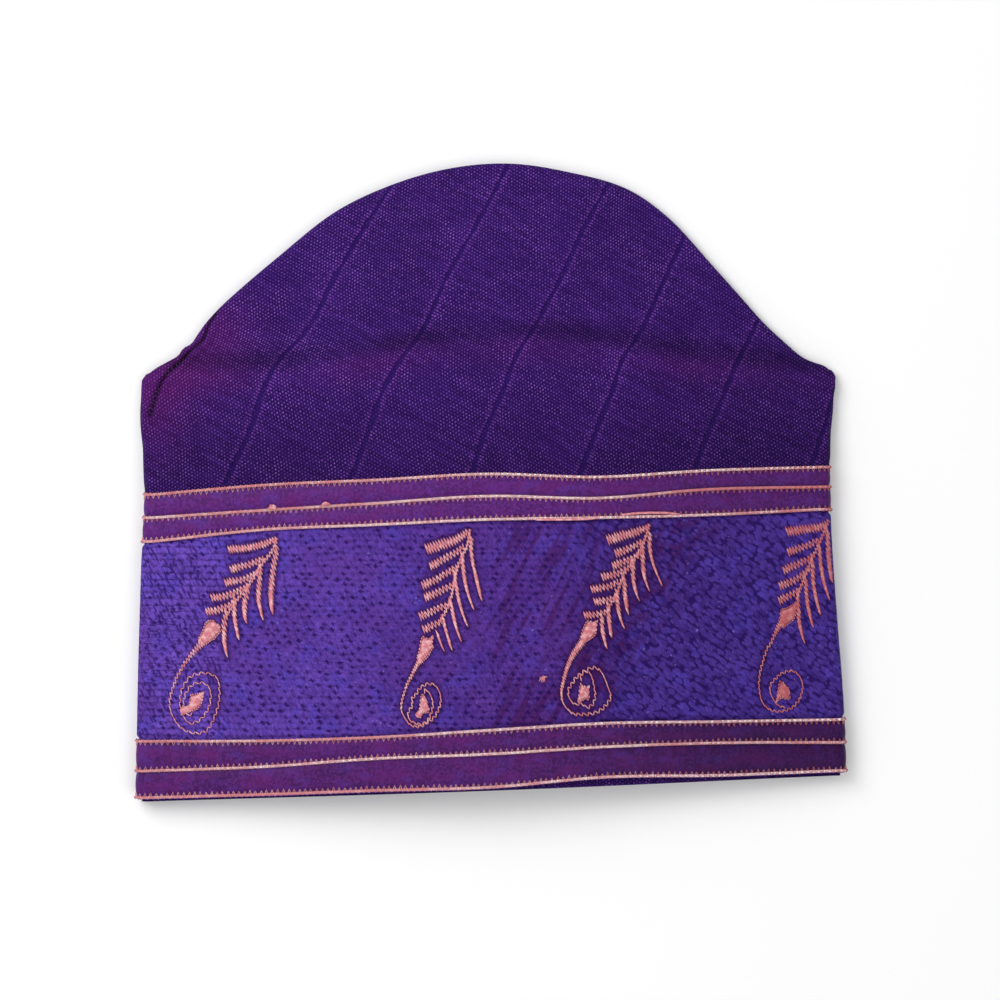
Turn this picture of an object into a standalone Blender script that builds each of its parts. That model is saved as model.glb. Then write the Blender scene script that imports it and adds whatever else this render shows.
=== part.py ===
"""An aso oke cap with an embroidered band, lying flat on its back.

The cap is a tube of woven cloth that a curved seam closes along the dome. It lies on the plane
z = 0 with its front up, its open rim towards -Y and its dome towards +Y. The embroidered band is
sewn round the tube, two pairs of satin ribbons are sewn round the band, and a couched braid runs
along every ribbon edge. Every piece is a ring of the same flattened tube, at its own depth below
the outside of the cap. The sizes are in metres.
"""

import math
from collections import namedtuple

import bpy

# Outline of the cap as it lies
RIM_WIDTH = 0.2864
BAND_HEIGHT = 0.1255
TUBE_RISE = 0.0413
DOME_RISE = 0.0844
BAND_SKEW = 0.0104
EAR_ROUNDING = 0.0030

# Height of the cap above the plane that it lies on
FOLD_RADIUS = 0.0052
RIM_LOFT = 0.0215
BAND_LOFT = 0.0250
CROWN_LOFT = 0.0225
DOME_LOFT = 0.0140
SEAM_LOFT = 0.0056
SEAM_TAPER = 0.0450
SEAM_ROUNDING = 0.0028
CREASE_WIDTH = 0.0160
FLARE_LENGTH = 0.0045

# Cloth, ribbon and braid
CLOTH_THICKNESS = 0.0012
BAND_THICKNESS = 0.0013
PANEL_SWELL = 0.0009
PANEL_EDGE_WIDTH = 0.0016
RIBBON_THICKNESS = 0.0010
BRAID_WIDTH = 0.0018
BRAID_THICKNESS = 0.0010
LAYER_GAP = 0.0003
EDGE_GAP = 0.0003

# Facets round the flattened tube
FLAT_STEPS = 22
QUARTER_FOLD_STEPS = 2

# Width of the tube and the shift of its middle, as shares of the rim's width. The height counts
# the band as 0 to 1 and the plain tube above it as 1 to 2.
Section = namedtuple("Section", "height wide lean")
SECTIONS = [
    Section(height=0.00, wide=1.000, lean=0.0000),
    Section(height=0.25, wide=0.994, lean=-0.0013),
    Section(height=0.50, wide=0.983, lean=-0.0042),
    Section(height=0.75, wide=0.972, lean=-0.0063),
    Section(height=1.00, wide=0.964, lean=-0.0055),
    Section(height=1.30, wide=0.965, lean=-0.0061),
    Section(height=1.60, wide=0.973, lean=-0.0063),
    Section(height=2.00, wide=0.975, lean=-0.0028),
]

# Seam along the dome: across is the share of the width from the left ear, rise is the share of the
# dome's rise.
DomePoint = namedtuple("DomePoint", "across rise")
DOME = [
    DomePoint(across=0.000, rise=-0.010),
    DomePoint(across=0.036, rise=0.057),
    DomePoint(across=0.072, rise=0.160),
    DomePoint(across=0.122, rise=0.360),
    DomePoint(across=0.186, rise=0.540),
    DomePoint(across=0.272, rise=0.763),
    DomePoint(across=0.358, rise=0.896),
    DomePoint(across=0.444, rise=0.976),
    DomePoint(across=0.530, rise=1.000),
    DomePoint(across=0.616, rise=0.957),
    DomePoint(across=0.702, rise=0.872),
    DomePoint(across=0.766, rise=0.725),
    DomePoint(across=0.831, rise=0.474),
    DomePoint(across=0.917, rise=0.171),
    DomePoint(across=0.960, rise=0.052),
    DomePoint(across=1.000, rise=0.010),
]

# Soft crease across the crown, where the stiff tube ends: rise is the share of the dome's rise.
CREASE = [
    DomePoint(across=0.00, rise=0.070),
    DomePoint(across=0.20, rise=0.078),
    DomePoint(across=0.40, rise=0.175),
    DomePoint(across=0.60, rise=0.215),
    DomePoint(across=0.78, rise=0.135),
    DomePoint(across=1.00, rise=0.050),
]

# Middle lines of the braids across the front, as shares of the band's height, at seven even
# stations from the left fold to the right fold.
TrimLine = namedtuple("TrimLine", "name far_left left mid_left middle mid_right right far_right")
TRIM_LINES = [
    TrimLine("braid_1", 0.982, 0.998, 1.000, 1.005, 0.982, 0.989, 0.986),
    TrimLine("braid_2", 0.908, 0.918, 0.926, 0.935, 0.915, 0.929, 0.923),
    TrimLine("braid_3", 0.832, 0.856, 0.858, 0.861, 0.853, 0.848, 0.851),
    TrimLine("braid_4", 0.194, 0.184, 0.184, 0.194, 0.201, 0.190, 0.180),
    TrimLine("braid_5", 0.099, 0.101, 0.116, 0.118, 0.126, 0.122, 0.107),
    TrimLine("braid_6", 0.014, 0.013, 0.015, 0.013, 0.030, 0.019, 0.017),
]

# Ribbons between neighbouring braids
Ribbon = namedtuple("Ribbon", "name lower upper")
RIBBONS = [
    Ribbon(name="upper_ribbon_1", lower="braid_2", upper="braid_1"),
    Ribbon(name="upper_ribbon_2", lower="braid_3", upper="braid_2"),
    Ribbon(name="lower_ribbon_1", lower="braid_5", upper="braid_4"),
    Ribbon(name="lower_ribbon_2", lower="braid_6", upper="braid_5"),
]

# Rows of facets up the crown above the band, as shares of the way to the dome seam
CROWN_ROWS = [0.035, 0.075, 0.14, 0.22, 0.30, 0.37, 0.43, 0.49, 0.56, 0.65, 0.75, 0.85, 0.93, 1.00]
SEAM_ROWS = [0.30, 0.00]
PANEL_ROWS = [1 / 3, 2 / 3]

# Colour, roughness and metallic value of each kind of piece
Finish = namedtuple("Finish", "colour roughness metallic")
FINISHES = {
    "crown": Finish(colour=(0.040, 0.012, 0.115), roughness=0.75, metallic=0.0),
    "band": Finish(colour=(0.098, 0.050, 0.345), roughness=0.60, metallic=0.0),
    "ribbon": Finish(colour=(0.074, 0.018, 0.118), roughness=0.45, metallic=0.0),
    "braid": Finish(colour=(0.700, 0.300, 0.210), roughness=0.40, metallic=0.3),
}

Column = namedtuple("Column", "across turn side")


def smooth_step(share):
    """Return an even ease from 0 to 1 while the share goes from 0 to 1."""
    held = min(max(share, 0.0), 1.0)
    return held * held * (3.0 - 2.0 * held)


def mix(low, high, share):
    return low + (high - low) * share


def smooth_curve(stations, values, place):
    """Return a value on the smooth curve through the values at rising stations."""
    last = len(stations) - 1
    if place <= stations[0]:
        return values[0]
    if place >= stations[last]:
        return values[last]
    left = max(index for index in range(last) if stations[index] <= place)
    right = left + 1
    before = max(left - 1, 0)
    after = min(right + 1, last)
    span = stations[right] - stations[left]
    left_slope = (values[right] - values[before]) / (stations[right] - stations[before])
    right_slope = (values[after] - values[left]) / (stations[after] - stations[left])
    share = (place - stations[left]) / span
    bend = share * share * (3.0 - 2.0 * share)
    ease_in = share * (1.0 - share) ** 2
    ease_out = share * share * (1.0 - share)
    slopes = span * (left_slope * ease_in - right_slope * ease_out)
    return mix(values[left], values[right], bend) + slopes


def table_curve(table, place_column, value_column, place):
    stations = [getattr(row, place_column) for row in table]
    values = [getattr(row, value_column) for row in table]
    return smooth_curve(stations, values, place)


def skew(across):
    """Return how far the slanting band rises at this share of the width."""
    return BAND_SKEW * (across - 0.5)


def trim_height(line, column):
    """Return the height of a braid's middle line above the rim. It runs straight over the back."""
    shares = line[1:]
    straight = mix(line.far_left, line.far_right, column.across)
    if column.turn <= 0.5 * math.pi:
        return straight * BAND_HEIGHT
    stations = [index / (len(shares) - 1) for index in range(len(shares))]
    return smooth_curve(stations, shares, column.across) * BAND_HEIGHT


def dome_height(across):
    """Return the height of the dome seam above the middle of the rim."""
    rise = table_curve(DOME, "across", "rise", across)
    return BAND_HEIGHT + TUBE_RISE + DOME_RISE * rise


def dome_steepness(across):
    """Return how much longer the seam is than its width here."""
    step = 0.01
    low = max(across - step, 0.0)
    high = min(across + step, 1.0)
    width = SECTIONS[-1].wide * RIM_WIDTH * (high - low)
    return math.hypot(1.0, (dome_height(high) - dome_height(low)) / width)


# The rim is lowest at its left end and the dome is highest at its top. The middle of the two is
# the origin's place along the cap.
MIDDLE_HEIGHT = 0.5 * (skew(0.0) + BAND_HEIGHT + TUBE_RISE + DOME_RISE)


def edges(height, across):
    """Return the left and right edge of the tube at a height above the middle of the rim."""
    above_rim = height - skew(across)
    if above_rim <= BAND_HEIGHT:
        level = above_rim / BAND_HEIGHT
    else:
        level = 1.0 + (above_rim - BAND_HEIGHT) / (TUBE_RISE - skew(across))
    width = RIM_WIDTH * table_curve(SECTIONS, "height", "wide", level)
    middle = RIM_WIDTH * table_curve(SECTIONS, "height", "lean", level)
    return middle - 0.5 * width, middle + 0.5 * width


def full_loft(height, across):
    """Return the height of the middle of the front above the plane, away from the seam."""
    band_share = (height - skew(across)) / BAND_HEIGHT
    if band_share < 0.5:
        loft = mix(RIM_LOFT, BAND_LOFT, smooth_step(2.0 * band_share))
    else:
        loft = mix(BAND_LOFT, CROWN_LOFT, smooth_step(2.0 * band_share - 1.0))
    crease = BAND_HEIGHT + TUBE_RISE + DOME_RISE * table_curve(CREASE, "across", "rise", across)
    past_crease = smooth_step((height - crease) / CREASE_WIDTH + 0.5)
    return mix(loft, DOME_LOFT, past_crease)


def tube_point(column, height, seam_distance, depth):
    """Return a point of the flattened tube at a depth below its outside."""
    swell = math.sin(math.pi * column.across) ** 1.4
    open_loft = mix(2.0 * FOLD_RADIUS, full_loft(height, column.across), swell)
    loft = mix(SEAM_LOFT, open_loft, smooth_step(seam_distance / SEAM_TAPER))
    near_seam = 1.0 - min(seam_distance / SEAM_ROUNDING, 1.0)
    closing = math.sqrt(1.0 - near_seam * near_seam)
    seam_level = 0.5 * SEAM_LOFT
    middle_level = mix(seam_level, 0.5 * loft, closing)
    half_loft = 0.5 * loft * closing - depth
    left, right = edges(height, column.across)
    fold = min(FOLD_RADIUS, 0.5 * loft)
    x = mix(left + fold, right - fold, column.across)
    x += column.side * (fold - depth) * math.sin(column.turn)
    y = height - MIDDLE_HEIGHT
    z = middle_level - half_loft * math.cos(column.turn)
    return (x, y, z)


def tube_columns():
    """Return the columns of the tube, round from the left fold over the back to the front."""
    shares = []
    for step in range(FLAT_STEPS + 1):
        even = step / FLAT_STEPS
        gathered = 0.5 - 0.5 * math.cos(math.pi * even)
        shares.append(mix(even, gathered, 0.4))
    quarter = 0.5 * math.pi / QUARTER_FOLD_STEPS
    turns = [quarter * step for step in range(1, QUARTER_FOLD_STEPS)]
    columns = [Column(0.0, 0.5 * math.pi, -1)]
    columns += [Column(0.0, turn, -1) for turn in reversed(turns)]
    columns += [Column(share, 0.0, 0) for share in shares]
    columns += [Column(1.0, turn, 1) for turn in turns]
    columns += [Column(1.0, 0.5 * math.pi, 1)]
    columns += [Column(1.0, math.pi - turn, 1) for turn in reversed(turns)]
    columns += [Column(share, math.pi, 0) for share in reversed(shares)]
    columns += [Column(0.0, math.pi - turn, -1) for turn in turns]
    return columns


def seam_height(column):
    """Return the height of the dome seam in a column. It drops round the corner of each ear."""
    return dome_height(column.across) - EAR_ROUNDING * abs(column.side) * math.sin(column.turn) ** 2


def open_row(columns, height_in_column, depth):
    """Return a row of points round the tube below the dome's seam."""
    return [
        tube_point(column, height_in_column(column), 10.0 * SEAM_TAPER, depth) for column in columns
    ]


def line_row(columns, line, offset, depth):
    """Return a row that runs beside a braid's middle line."""
    return open_row(
        columns,
        lambda column: skew(column.across) + trim_height(line, column) + offset,
        depth,
    )


def rim_row(columns, depth):
    return open_row(columns, lambda column: skew(column.across), depth)


def panel_row(columns, share, depth):
    """Return a row across the embroidered panel, between the braids that border it."""
    low = trim_line("braid_4")
    high = trim_line("braid_3")
    return open_row(
        columns,
        lambda column: skew(column.across)
        + mix(trim_height(low, column), trim_height(high, column), share),
        depth,
    )


def trim_line(name):
    return next(line for line in TRIM_LINES if line.name == name)


def band_top(column):
    return skew(column.across) + trim_height(trim_line("braid_1"), column) + 0.5 * BRAID_WIDTH


def crown_row(columns, share, covered_depth):
    """Return a row of the crown above the band. It swells out over the band's edge."""
    row = []
    for column in columns:
        steepness = dome_steepness(column.across)
        bottom = band_top(column)
        top = seam_height(column) - SEAM_ROUNDING * steepness
        height = mix(bottom, top, share)
        depth = covered_depth * (1.0 - smooth_step((height - bottom) / FLARE_LENGTH))
        row.append(tube_point(column, height, (seam_height(column) - height) / steepness, depth))
    return row


def seam_row(columns, share):
    """Return a row on the rounded edge of the dome seam."""
    row = []
    for column in columns:
        distance = SEAM_ROUNDING * share
        height = seam_height(column) - distance * dome_steepness(column.across)
        row.append(tube_point(column, height, distance, 0.0))
    return row


def ring_faces(row_count, column_count):
    """Return the faces between rows of points, turned outwards."""
    faces = []
    for row in range(row_count - 1):
        for column in range(column_count):
            following = (column + 1) % column_count
            low = row * column_count
            high = low + column_count
            faces.append((low + column, high + column, high + following, low + following))
    return faces


def sewn_faces(faces, row_count, column_count):
    """Join the front and back points of the last row into one seam."""
    seam = (row_count - 1) * column_count
    sewn = []
    for face in faces:
        corners = []
        for corner in face:
            if corner > seam + column_count // 2:
                corner = 2 * seam + column_count - corner
            if corner not in corners:
                corners.append(corner)
        sewn.append(tuple(corners))
    return sewn


def material(kind):
    """Return the finish of a kind of piece, made once."""
    found = bpy.data.materials.get(kind)
    if found:
        return found
    finish = FINISHES[kind]
    made = bpy.data.materials.new(kind)
    made.use_nodes = True
    shader = made.node_tree.nodes["Principled BSDF"]
    shader.inputs["Base Color"].default_value = (*finish.colour, 1.0)
    shader.inputs["Roughness"].default_value = finish.roughness
    shader.inputs["Metallic"].default_value = finish.metallic
    return made


def add_shell(name, rows, thickness, kind, collection, sewn=False):
    """Add a cloth ring with its outside on the rows and its thickness inwards."""
    columns = len(rows[0])
    faces = ring_faces(len(rows), columns)
    points = [point for row in rows for point in row]
    if sewn:
        faces = sewn_faces(faces, len(rows), columns)
        points = points[: (len(rows) - 1) * columns + columns // 2 + 1]
    mesh = bpy.data.meshes.new(name)
    mesh.from_pydata(points, [], faces)
    mesh.materials.append(material(kind))
    shell = bpy.data.objects.new(name, mesh)
    collection.objects.link(shell)
    wall = shell.modifiers.new("cloth", "SOLIDIFY")
    wall.thickness = thickness
    wall.offset = -1.0
    wall.use_even_offset = True
    mesh.shade_smooth()
    mesh.set_sharp_from_angle(angle=math.radians(50))
    return shell


def build_crown(columns, collection):
    """Build the woven tube from the rim, under the band, to the seam along the dome."""
    covered = RIBBON_THICKNESS + LAYER_GAP + BAND_THICKNESS + LAYER_GAP
    rows = [rim_row(columns, covered)]
    for name in ("braid_5", "braid_4"):
        rows.append(line_row(columns, trim_line(name), 0.0, covered))
    rows += [panel_row(columns, share, covered) for share in PANEL_ROWS]
    rows.append(line_row(columns, trim_line("braid_3"), 0.0, covered))
    rows.append(open_row(columns, band_top, covered))
    rows += [crown_row(columns, share, covered) for share in CROWN_ROWS]
    rows += [seam_row(columns, share) for share in SEAM_ROWS]
    add_shell("crown", rows, CLOTH_THICKNESS, "crown", collection, sewn=True)


def build_band(columns, collection):
    """Build the embroidered sleeve, whose panel swells out between the ribbons."""
    depth = RIBBON_THICKNESS + LAYER_GAP
    swollen = depth - PANEL_SWELL
    clearance = 0.5 * BRAID_WIDTH + EDGE_GAP
    rows = [
        line_row(columns, trim_line("braid_6"), -0.5 * BRAID_WIDTH, depth),
        line_row(columns, trim_line("braid_5"), 0.0, depth),
        line_row(columns, trim_line("braid_4"), clearance, depth),
        line_row(columns, trim_line("braid_4"), clearance + PANEL_EDGE_WIDTH, swollen),
    ]
    rows += [panel_row(columns, share, swollen) for share in PANEL_ROWS]
    rows += [
        line_row(columns, trim_line("braid_3"), -clearance - PANEL_EDGE_WIDTH, swollen),
        line_row(columns, trim_line("braid_3"), -clearance, depth),
        open_row(columns, band_top, depth),
    ]
    add_shell("band", rows, BAND_THICKNESS, "band", collection)


def build_ribbons(columns, collection):
    """Build a satin ribbon between each pair of neighbouring braids."""
    clearance = 0.5 * BRAID_WIDTH + EDGE_GAP
    for ribbon in RIBBONS:
        lower = line_row(columns, trim_line(ribbon.lower), clearance, 0.0)
        upper = line_row(columns, trim_line(ribbon.upper), -clearance, 0.0)
        add_shell(ribbon.name, [lower, upper], RIBBON_THICKNESS, "ribbon", collection)


def build_braids(columns, collection):
    """Build a flat braid round the band along each trim line."""
    for line in TRIM_LINES:
        lower = line_row(columns, line, -0.5 * BRAID_WIDTH, 0.0)
        upper = line_row(columns, line, 0.5 * BRAID_WIDTH, 0.0)
        add_shell(line.name, [lower, upper], BRAID_THICKNESS, "braid", collection)


def main():
    for item in list(bpy.data.objects):
        bpy.data.objects.remove(item)
    collection = bpy.data.collections.new("aso_oke_cap")
    bpy.context.scene.collection.children.link(collection)
    columns = tube_columns()
    build_crown(columns, collection)
    build_band(columns, collection)
    build_ribbons(columns, collection)
    build_braids(columns, collection)


main()
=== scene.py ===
"""Looks of an aso oke cap with an embroidered band, lying flat on its back.

Every piece follows the flattened tube that the fixed frame is built on. Sizes are in metres, the
cap lies on z = 0 with its front up, its rim towards -Y and its dome towards +Y.
"""

import math
from collections import namedtuple

import bpy
import numpy as np
from mathutils.kdtree import KDTree
from bpy.props import FloatProperty, FloatVectorProperty, IntProperty, PointerProperty
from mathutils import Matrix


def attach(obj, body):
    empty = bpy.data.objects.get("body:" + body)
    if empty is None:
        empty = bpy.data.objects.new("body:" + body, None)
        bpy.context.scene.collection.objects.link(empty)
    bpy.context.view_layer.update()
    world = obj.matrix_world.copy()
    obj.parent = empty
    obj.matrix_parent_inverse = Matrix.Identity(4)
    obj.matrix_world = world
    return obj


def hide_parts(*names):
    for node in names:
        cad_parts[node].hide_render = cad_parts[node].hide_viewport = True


bl_info = {
    "name": "Aso Oke Cap",
    "version": (1, 0, 0),
    "blender": (4, 5, 0),
    "location": "3D View > Sidebar > Aso Oke Cap",
    "description": "Dresses the frame of a woven cap with cloth, ribbons, braids and embroidery",
    "category": "Add Mesh",
}

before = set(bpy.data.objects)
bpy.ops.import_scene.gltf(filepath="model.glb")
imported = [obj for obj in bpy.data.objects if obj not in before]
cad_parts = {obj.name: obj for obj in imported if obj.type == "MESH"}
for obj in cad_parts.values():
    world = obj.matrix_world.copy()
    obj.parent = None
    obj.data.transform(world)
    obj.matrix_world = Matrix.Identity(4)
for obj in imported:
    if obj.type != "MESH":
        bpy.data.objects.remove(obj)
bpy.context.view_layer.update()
BODY = "root"

# Outline of the cap as it lies
RIM_WIDTH = 0.2864
BAND_HEIGHT = 0.1255
TUBE_RISE = 0.0413
DOME_RISE = 0.0844
BAND_SKEW = 0.0104
EAR_ROUNDING = 0.0030

# Height of the cap above the plane that it lies on
FOLD_RADIUS = 0.0052
RIM_LOFT = 0.0215
BAND_LOFT = 0.0250
CROWN_LOFT = 0.0225
DOME_LOFT = 0.0140
SEAM_LOFT = 0.0056
SEAM_TAPER = 0.0450
SEAM_ROUNDING = 0.0028
CREASE_WIDTH = 0.0160

# Depths of the layers below the outside of the cap
CLOTH_THICKNESS = 0.0011
BAND_THICKNESS = 0.0013
BAND_DEPTH = 0.0013
CROWN_DEPTH = 0.0029
PANEL_DEPTH = 0.0004
PANEL_EDGE_WIDTH = 0.0016
RIBBON_DEPTH = 0.0002
RIBBON_THICKNESS = 0.0006
CORD_DEPTH = 0.0005
BRAID_WIDTH = 0.0018
EDGE_GAP = 0.0003
RIBBON_DIP = 0.0006
BAND_TOP_DROP = 0.0010
FLARE_RISE = 0.0009
FAR_FROM_SEAM = 1.0

# Least height of a thread's surface above the plane, and the reaches within which vertices merge
FLOOR_GAP = 0.00002
CLOTH_WELD = 0.000002
THREAD_WELD = 0.000001

# Rows of faces under the band and over its edges, and the rows of the rolled dome seam as shares of
# its rounding
UNDER_ROWS = 6
EDGE_ROWS = 4
INNER_STEP = 9
SEAM_ROLL = (0.80, 0.60, 0.42, 0.26, 0.13, 0.04, 0.00)

# Needle pits of the fill stitch, and the painted shadow beside the feathers
PIT_WIDTH = 0.00055
PIT_HEIGHT = 0.00095
NEEDLE_STAGGER = 0.46
SHADOW_WIDTH = 0.0011

# Width of the tube and the shift of its middle, as shares of the rim's width. The height counts
# the band as 0 to 1 and the plain tube above it as 1 to 2.
Section = namedtuple("Section", "height wide lean")
SECTIONS = [
    Section(height=0.00, wide=1.000, lean=0.0000),
    Section(height=0.25, wide=0.994, lean=-0.0013),
    Section(height=0.50, wide=0.983, lean=-0.0042),
    Section(height=0.75, wide=0.972, lean=-0.0063),
    Section(height=1.00, wide=0.964, lean=-0.0055),
    Section(height=1.30, wide=0.965, lean=-0.0061),
    Section(height=1.60, wide=0.973, lean=-0.0063),
    Section(height=2.00, wide=0.975, lean=-0.0028),
]

# Seam along the dome, and the soft crease where the stiff tube ends, as shares of the width and of
# the dome's rise
DomePoint = namedtuple("DomePoint", "across rise")
DOME = [
    DomePoint(across=0.000, rise=0.000),
    DomePoint(across=0.012, rise=0.028),
    DomePoint(across=0.030, rise=0.060),
    DomePoint(across=0.043, rise=0.086),
    DomePoint(across=0.050, rise=0.118),
    DomePoint(across=0.063, rise=0.144),
    DomePoint(across=0.071, rise=0.184),
    DomePoint(across=0.086, rise=0.250),
    DomePoint(across=0.116, rise=0.350),
    DomePoint(across=0.186, rise=0.545),
    DomePoint(across=0.272, rise=0.766),
    DomePoint(across=0.358, rise=0.900),
    DomePoint(across=0.444, rise=0.978),
    DomePoint(across=0.530, rise=1.000),
    DomePoint(across=0.616, rise=0.960),
    DomePoint(across=0.702, rise=0.880),
    DomePoint(across=0.766, rise=0.735),
    DomePoint(across=0.831, rise=0.505),
    DomePoint(across=0.875, rise=0.345),
    DomePoint(across=0.904, rise=0.240),
    DomePoint(across=0.933, rise=0.152),
    DomePoint(across=0.959, rise=0.080),
    DomePoint(across=0.976, rise=0.054),
    DomePoint(across=0.993, rise=0.035),
    DomePoint(across=1.000, rise=0.018),
]
CREASE = [
    DomePoint(across=0.00, rise=0.070),
    DomePoint(across=0.20, rise=0.078),
    DomePoint(across=0.40, rise=0.175),
    DomePoint(across=0.60, rise=0.215),
    DomePoint(across=0.78, rise=0.135),
    DomePoint(across=1.00, rise=0.050),
]

# Middle lines of the braids across the front, as shares of the band's height, at seven even
# stations from the left fold to the right fold
TrimLine = namedtuple("TrimLine", "name far_left left mid_left middle mid_right right far_right")
TRIM_LINES = [
    TrimLine("braid_1", 0.982, 0.998, 1.000, 1.005, 0.982, 0.989, 0.986),
    TrimLine("braid_2", 0.908, 0.918, 0.926, 0.935, 0.915, 0.929, 0.923),
    TrimLine("braid_3", 0.832, 0.856, 0.858, 0.861, 0.853, 0.848, 0.851),
    TrimLine("braid_4", 0.194, 0.184, 0.184, 0.194, 0.201, 0.190, 0.180),
    TrimLine("braid_5", 0.099, 0.101, 0.116, 0.118, 0.126, 0.122, 0.107),
    TrimLine("braid_6", 0.014, 0.013, 0.015, 0.013, 0.030, 0.019, 0.017),
]

# How silver each braid looks at the same seven stations: 1 is silver cord, 0 is covered by copper
SilverLine = namedtuple("SilverLine", "name far_left left mid_left middle mid_right right far_right")
SILVER_LINES = [
    SilverLine("braid_1", 0.25, 0.30, 0.35, 0.55, 0.95, 0.60, 0.30),
    SilverLine("braid_2", 0.45, 0.35, 0.40, 0.70, 0.60, 0.05, 0.30),
    SilverLine("braid_3", 0.35, 0.35, 0.55, 0.70, 0.75, 0.45, 0.40),
    SilverLine("braid_4", 0.30, 0.35, 0.35, 0.60, 0.70, 0.80, 0.70),
    SilverLine("braid_5", 0.30, 0.45, 0.55, 0.60, 0.50, 0.40, 0.40),
    SilverLine("braid_6", 0.20, 0.25, 0.25, 0.35, 0.45, 0.70, 0.50),
]

# Side of the cord on which each braid's couching teeth show: 1 is towards the dome
TOOTH_SIDES = {
    "braid_1": -1,
    "braid_2": -1,
    "braid_3": 1,
    "braid_4": -1,
    "braid_5": 1,
    "braid_6": 1,
}

# Ribbons between neighbouring braids
Ribbon = namedtuple("Ribbon", "name lower upper")
RIBBONS = [
    Ribbon(name="upper_ribbon_1", lower="braid_2", upper="braid_1"),
    Ribbon(name="upper_ribbon_2", lower="braid_3", upper="braid_2"),
    Ribbon(name="lower_ribbon_1", lower="braid_5", upper="braid_4"),
    Ribbon(name="lower_ribbon_2", lower="braid_6", upper="braid_5"),
]

# Woven stripes of the crown: where each crosses these heights, named by their millimetres, from
# above the band up past the crease to the dome
STRIPE_LEVELS = (0.0048, 0.0208, 0.0368, 0.0488, 0.0608, 0.0808, 0.1008, 0.1168)
STRIPE_LEAN = math.radians(28.0)
STRIPE_SLOPE = 0.5
Stripe = namedtuple("Stripe", "at_5 at_21 at_37 at_49 at_61 at_81 at_101 at_117")
STRIPES = [
    Stripe(-0.1500, -0.1430, -0.1370, -0.1310, -0.1200, -0.1100, -0.0980, -0.0880),
    Stripe(-0.1037, -0.0963, -0.0910, -0.0847, -0.0734, -0.0632, -0.0514, -0.0413),
    Stripe(-0.0546, -0.0487, -0.0429, -0.0360, -0.0271, -0.0181, -0.0070, 0.0015),
    Stripe(-0.0070, -0.0020, 0.0053, 0.0096, 0.0168, 0.0278, 0.0368, 0.0453),
    Stripe(0.0364, 0.0424, 0.0488, 0.0527, 0.0604, 0.0692, 0.0784, 0.0860),
    Stripe(0.0814, 0.0874, 0.0939, 0.0990, 0.1050, 0.1130, 0.1220, 0.1300),
    Stripe(0.1275, 0.1330, 0.1380, 0.1420, 0.1470, 0.1550, 0.1640, 0.1720),
    Stripe(0.1740, 0.1800, 0.1860, 0.1900, 0.1970, 0.2050, 0.2140, 0.2220),
]

# Stitched seam at the left ear, from the dome's edge down to the fold
Spot = namedtuple("Spot", "x y")
SIDE_SEAM = [
    Spot(x=-0.1100, y=0.0690),
    Spot(x=-0.1136, y=0.0630),
    Spot(x=-0.1156, y=0.0572),
    Spot(x=-0.1214, y=0.0524),
    Spot(x=-0.1243, y=0.0488),
    Spot(x=-0.1286, y=0.0452),
    Spot(x=-0.1320, y=0.0410),
    Spot(x=-0.1338, y=0.0366),
    Spot(x=-0.1358, y=0.0305),
    Spot(x=-0.1368, y=0.0270),
]

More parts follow.
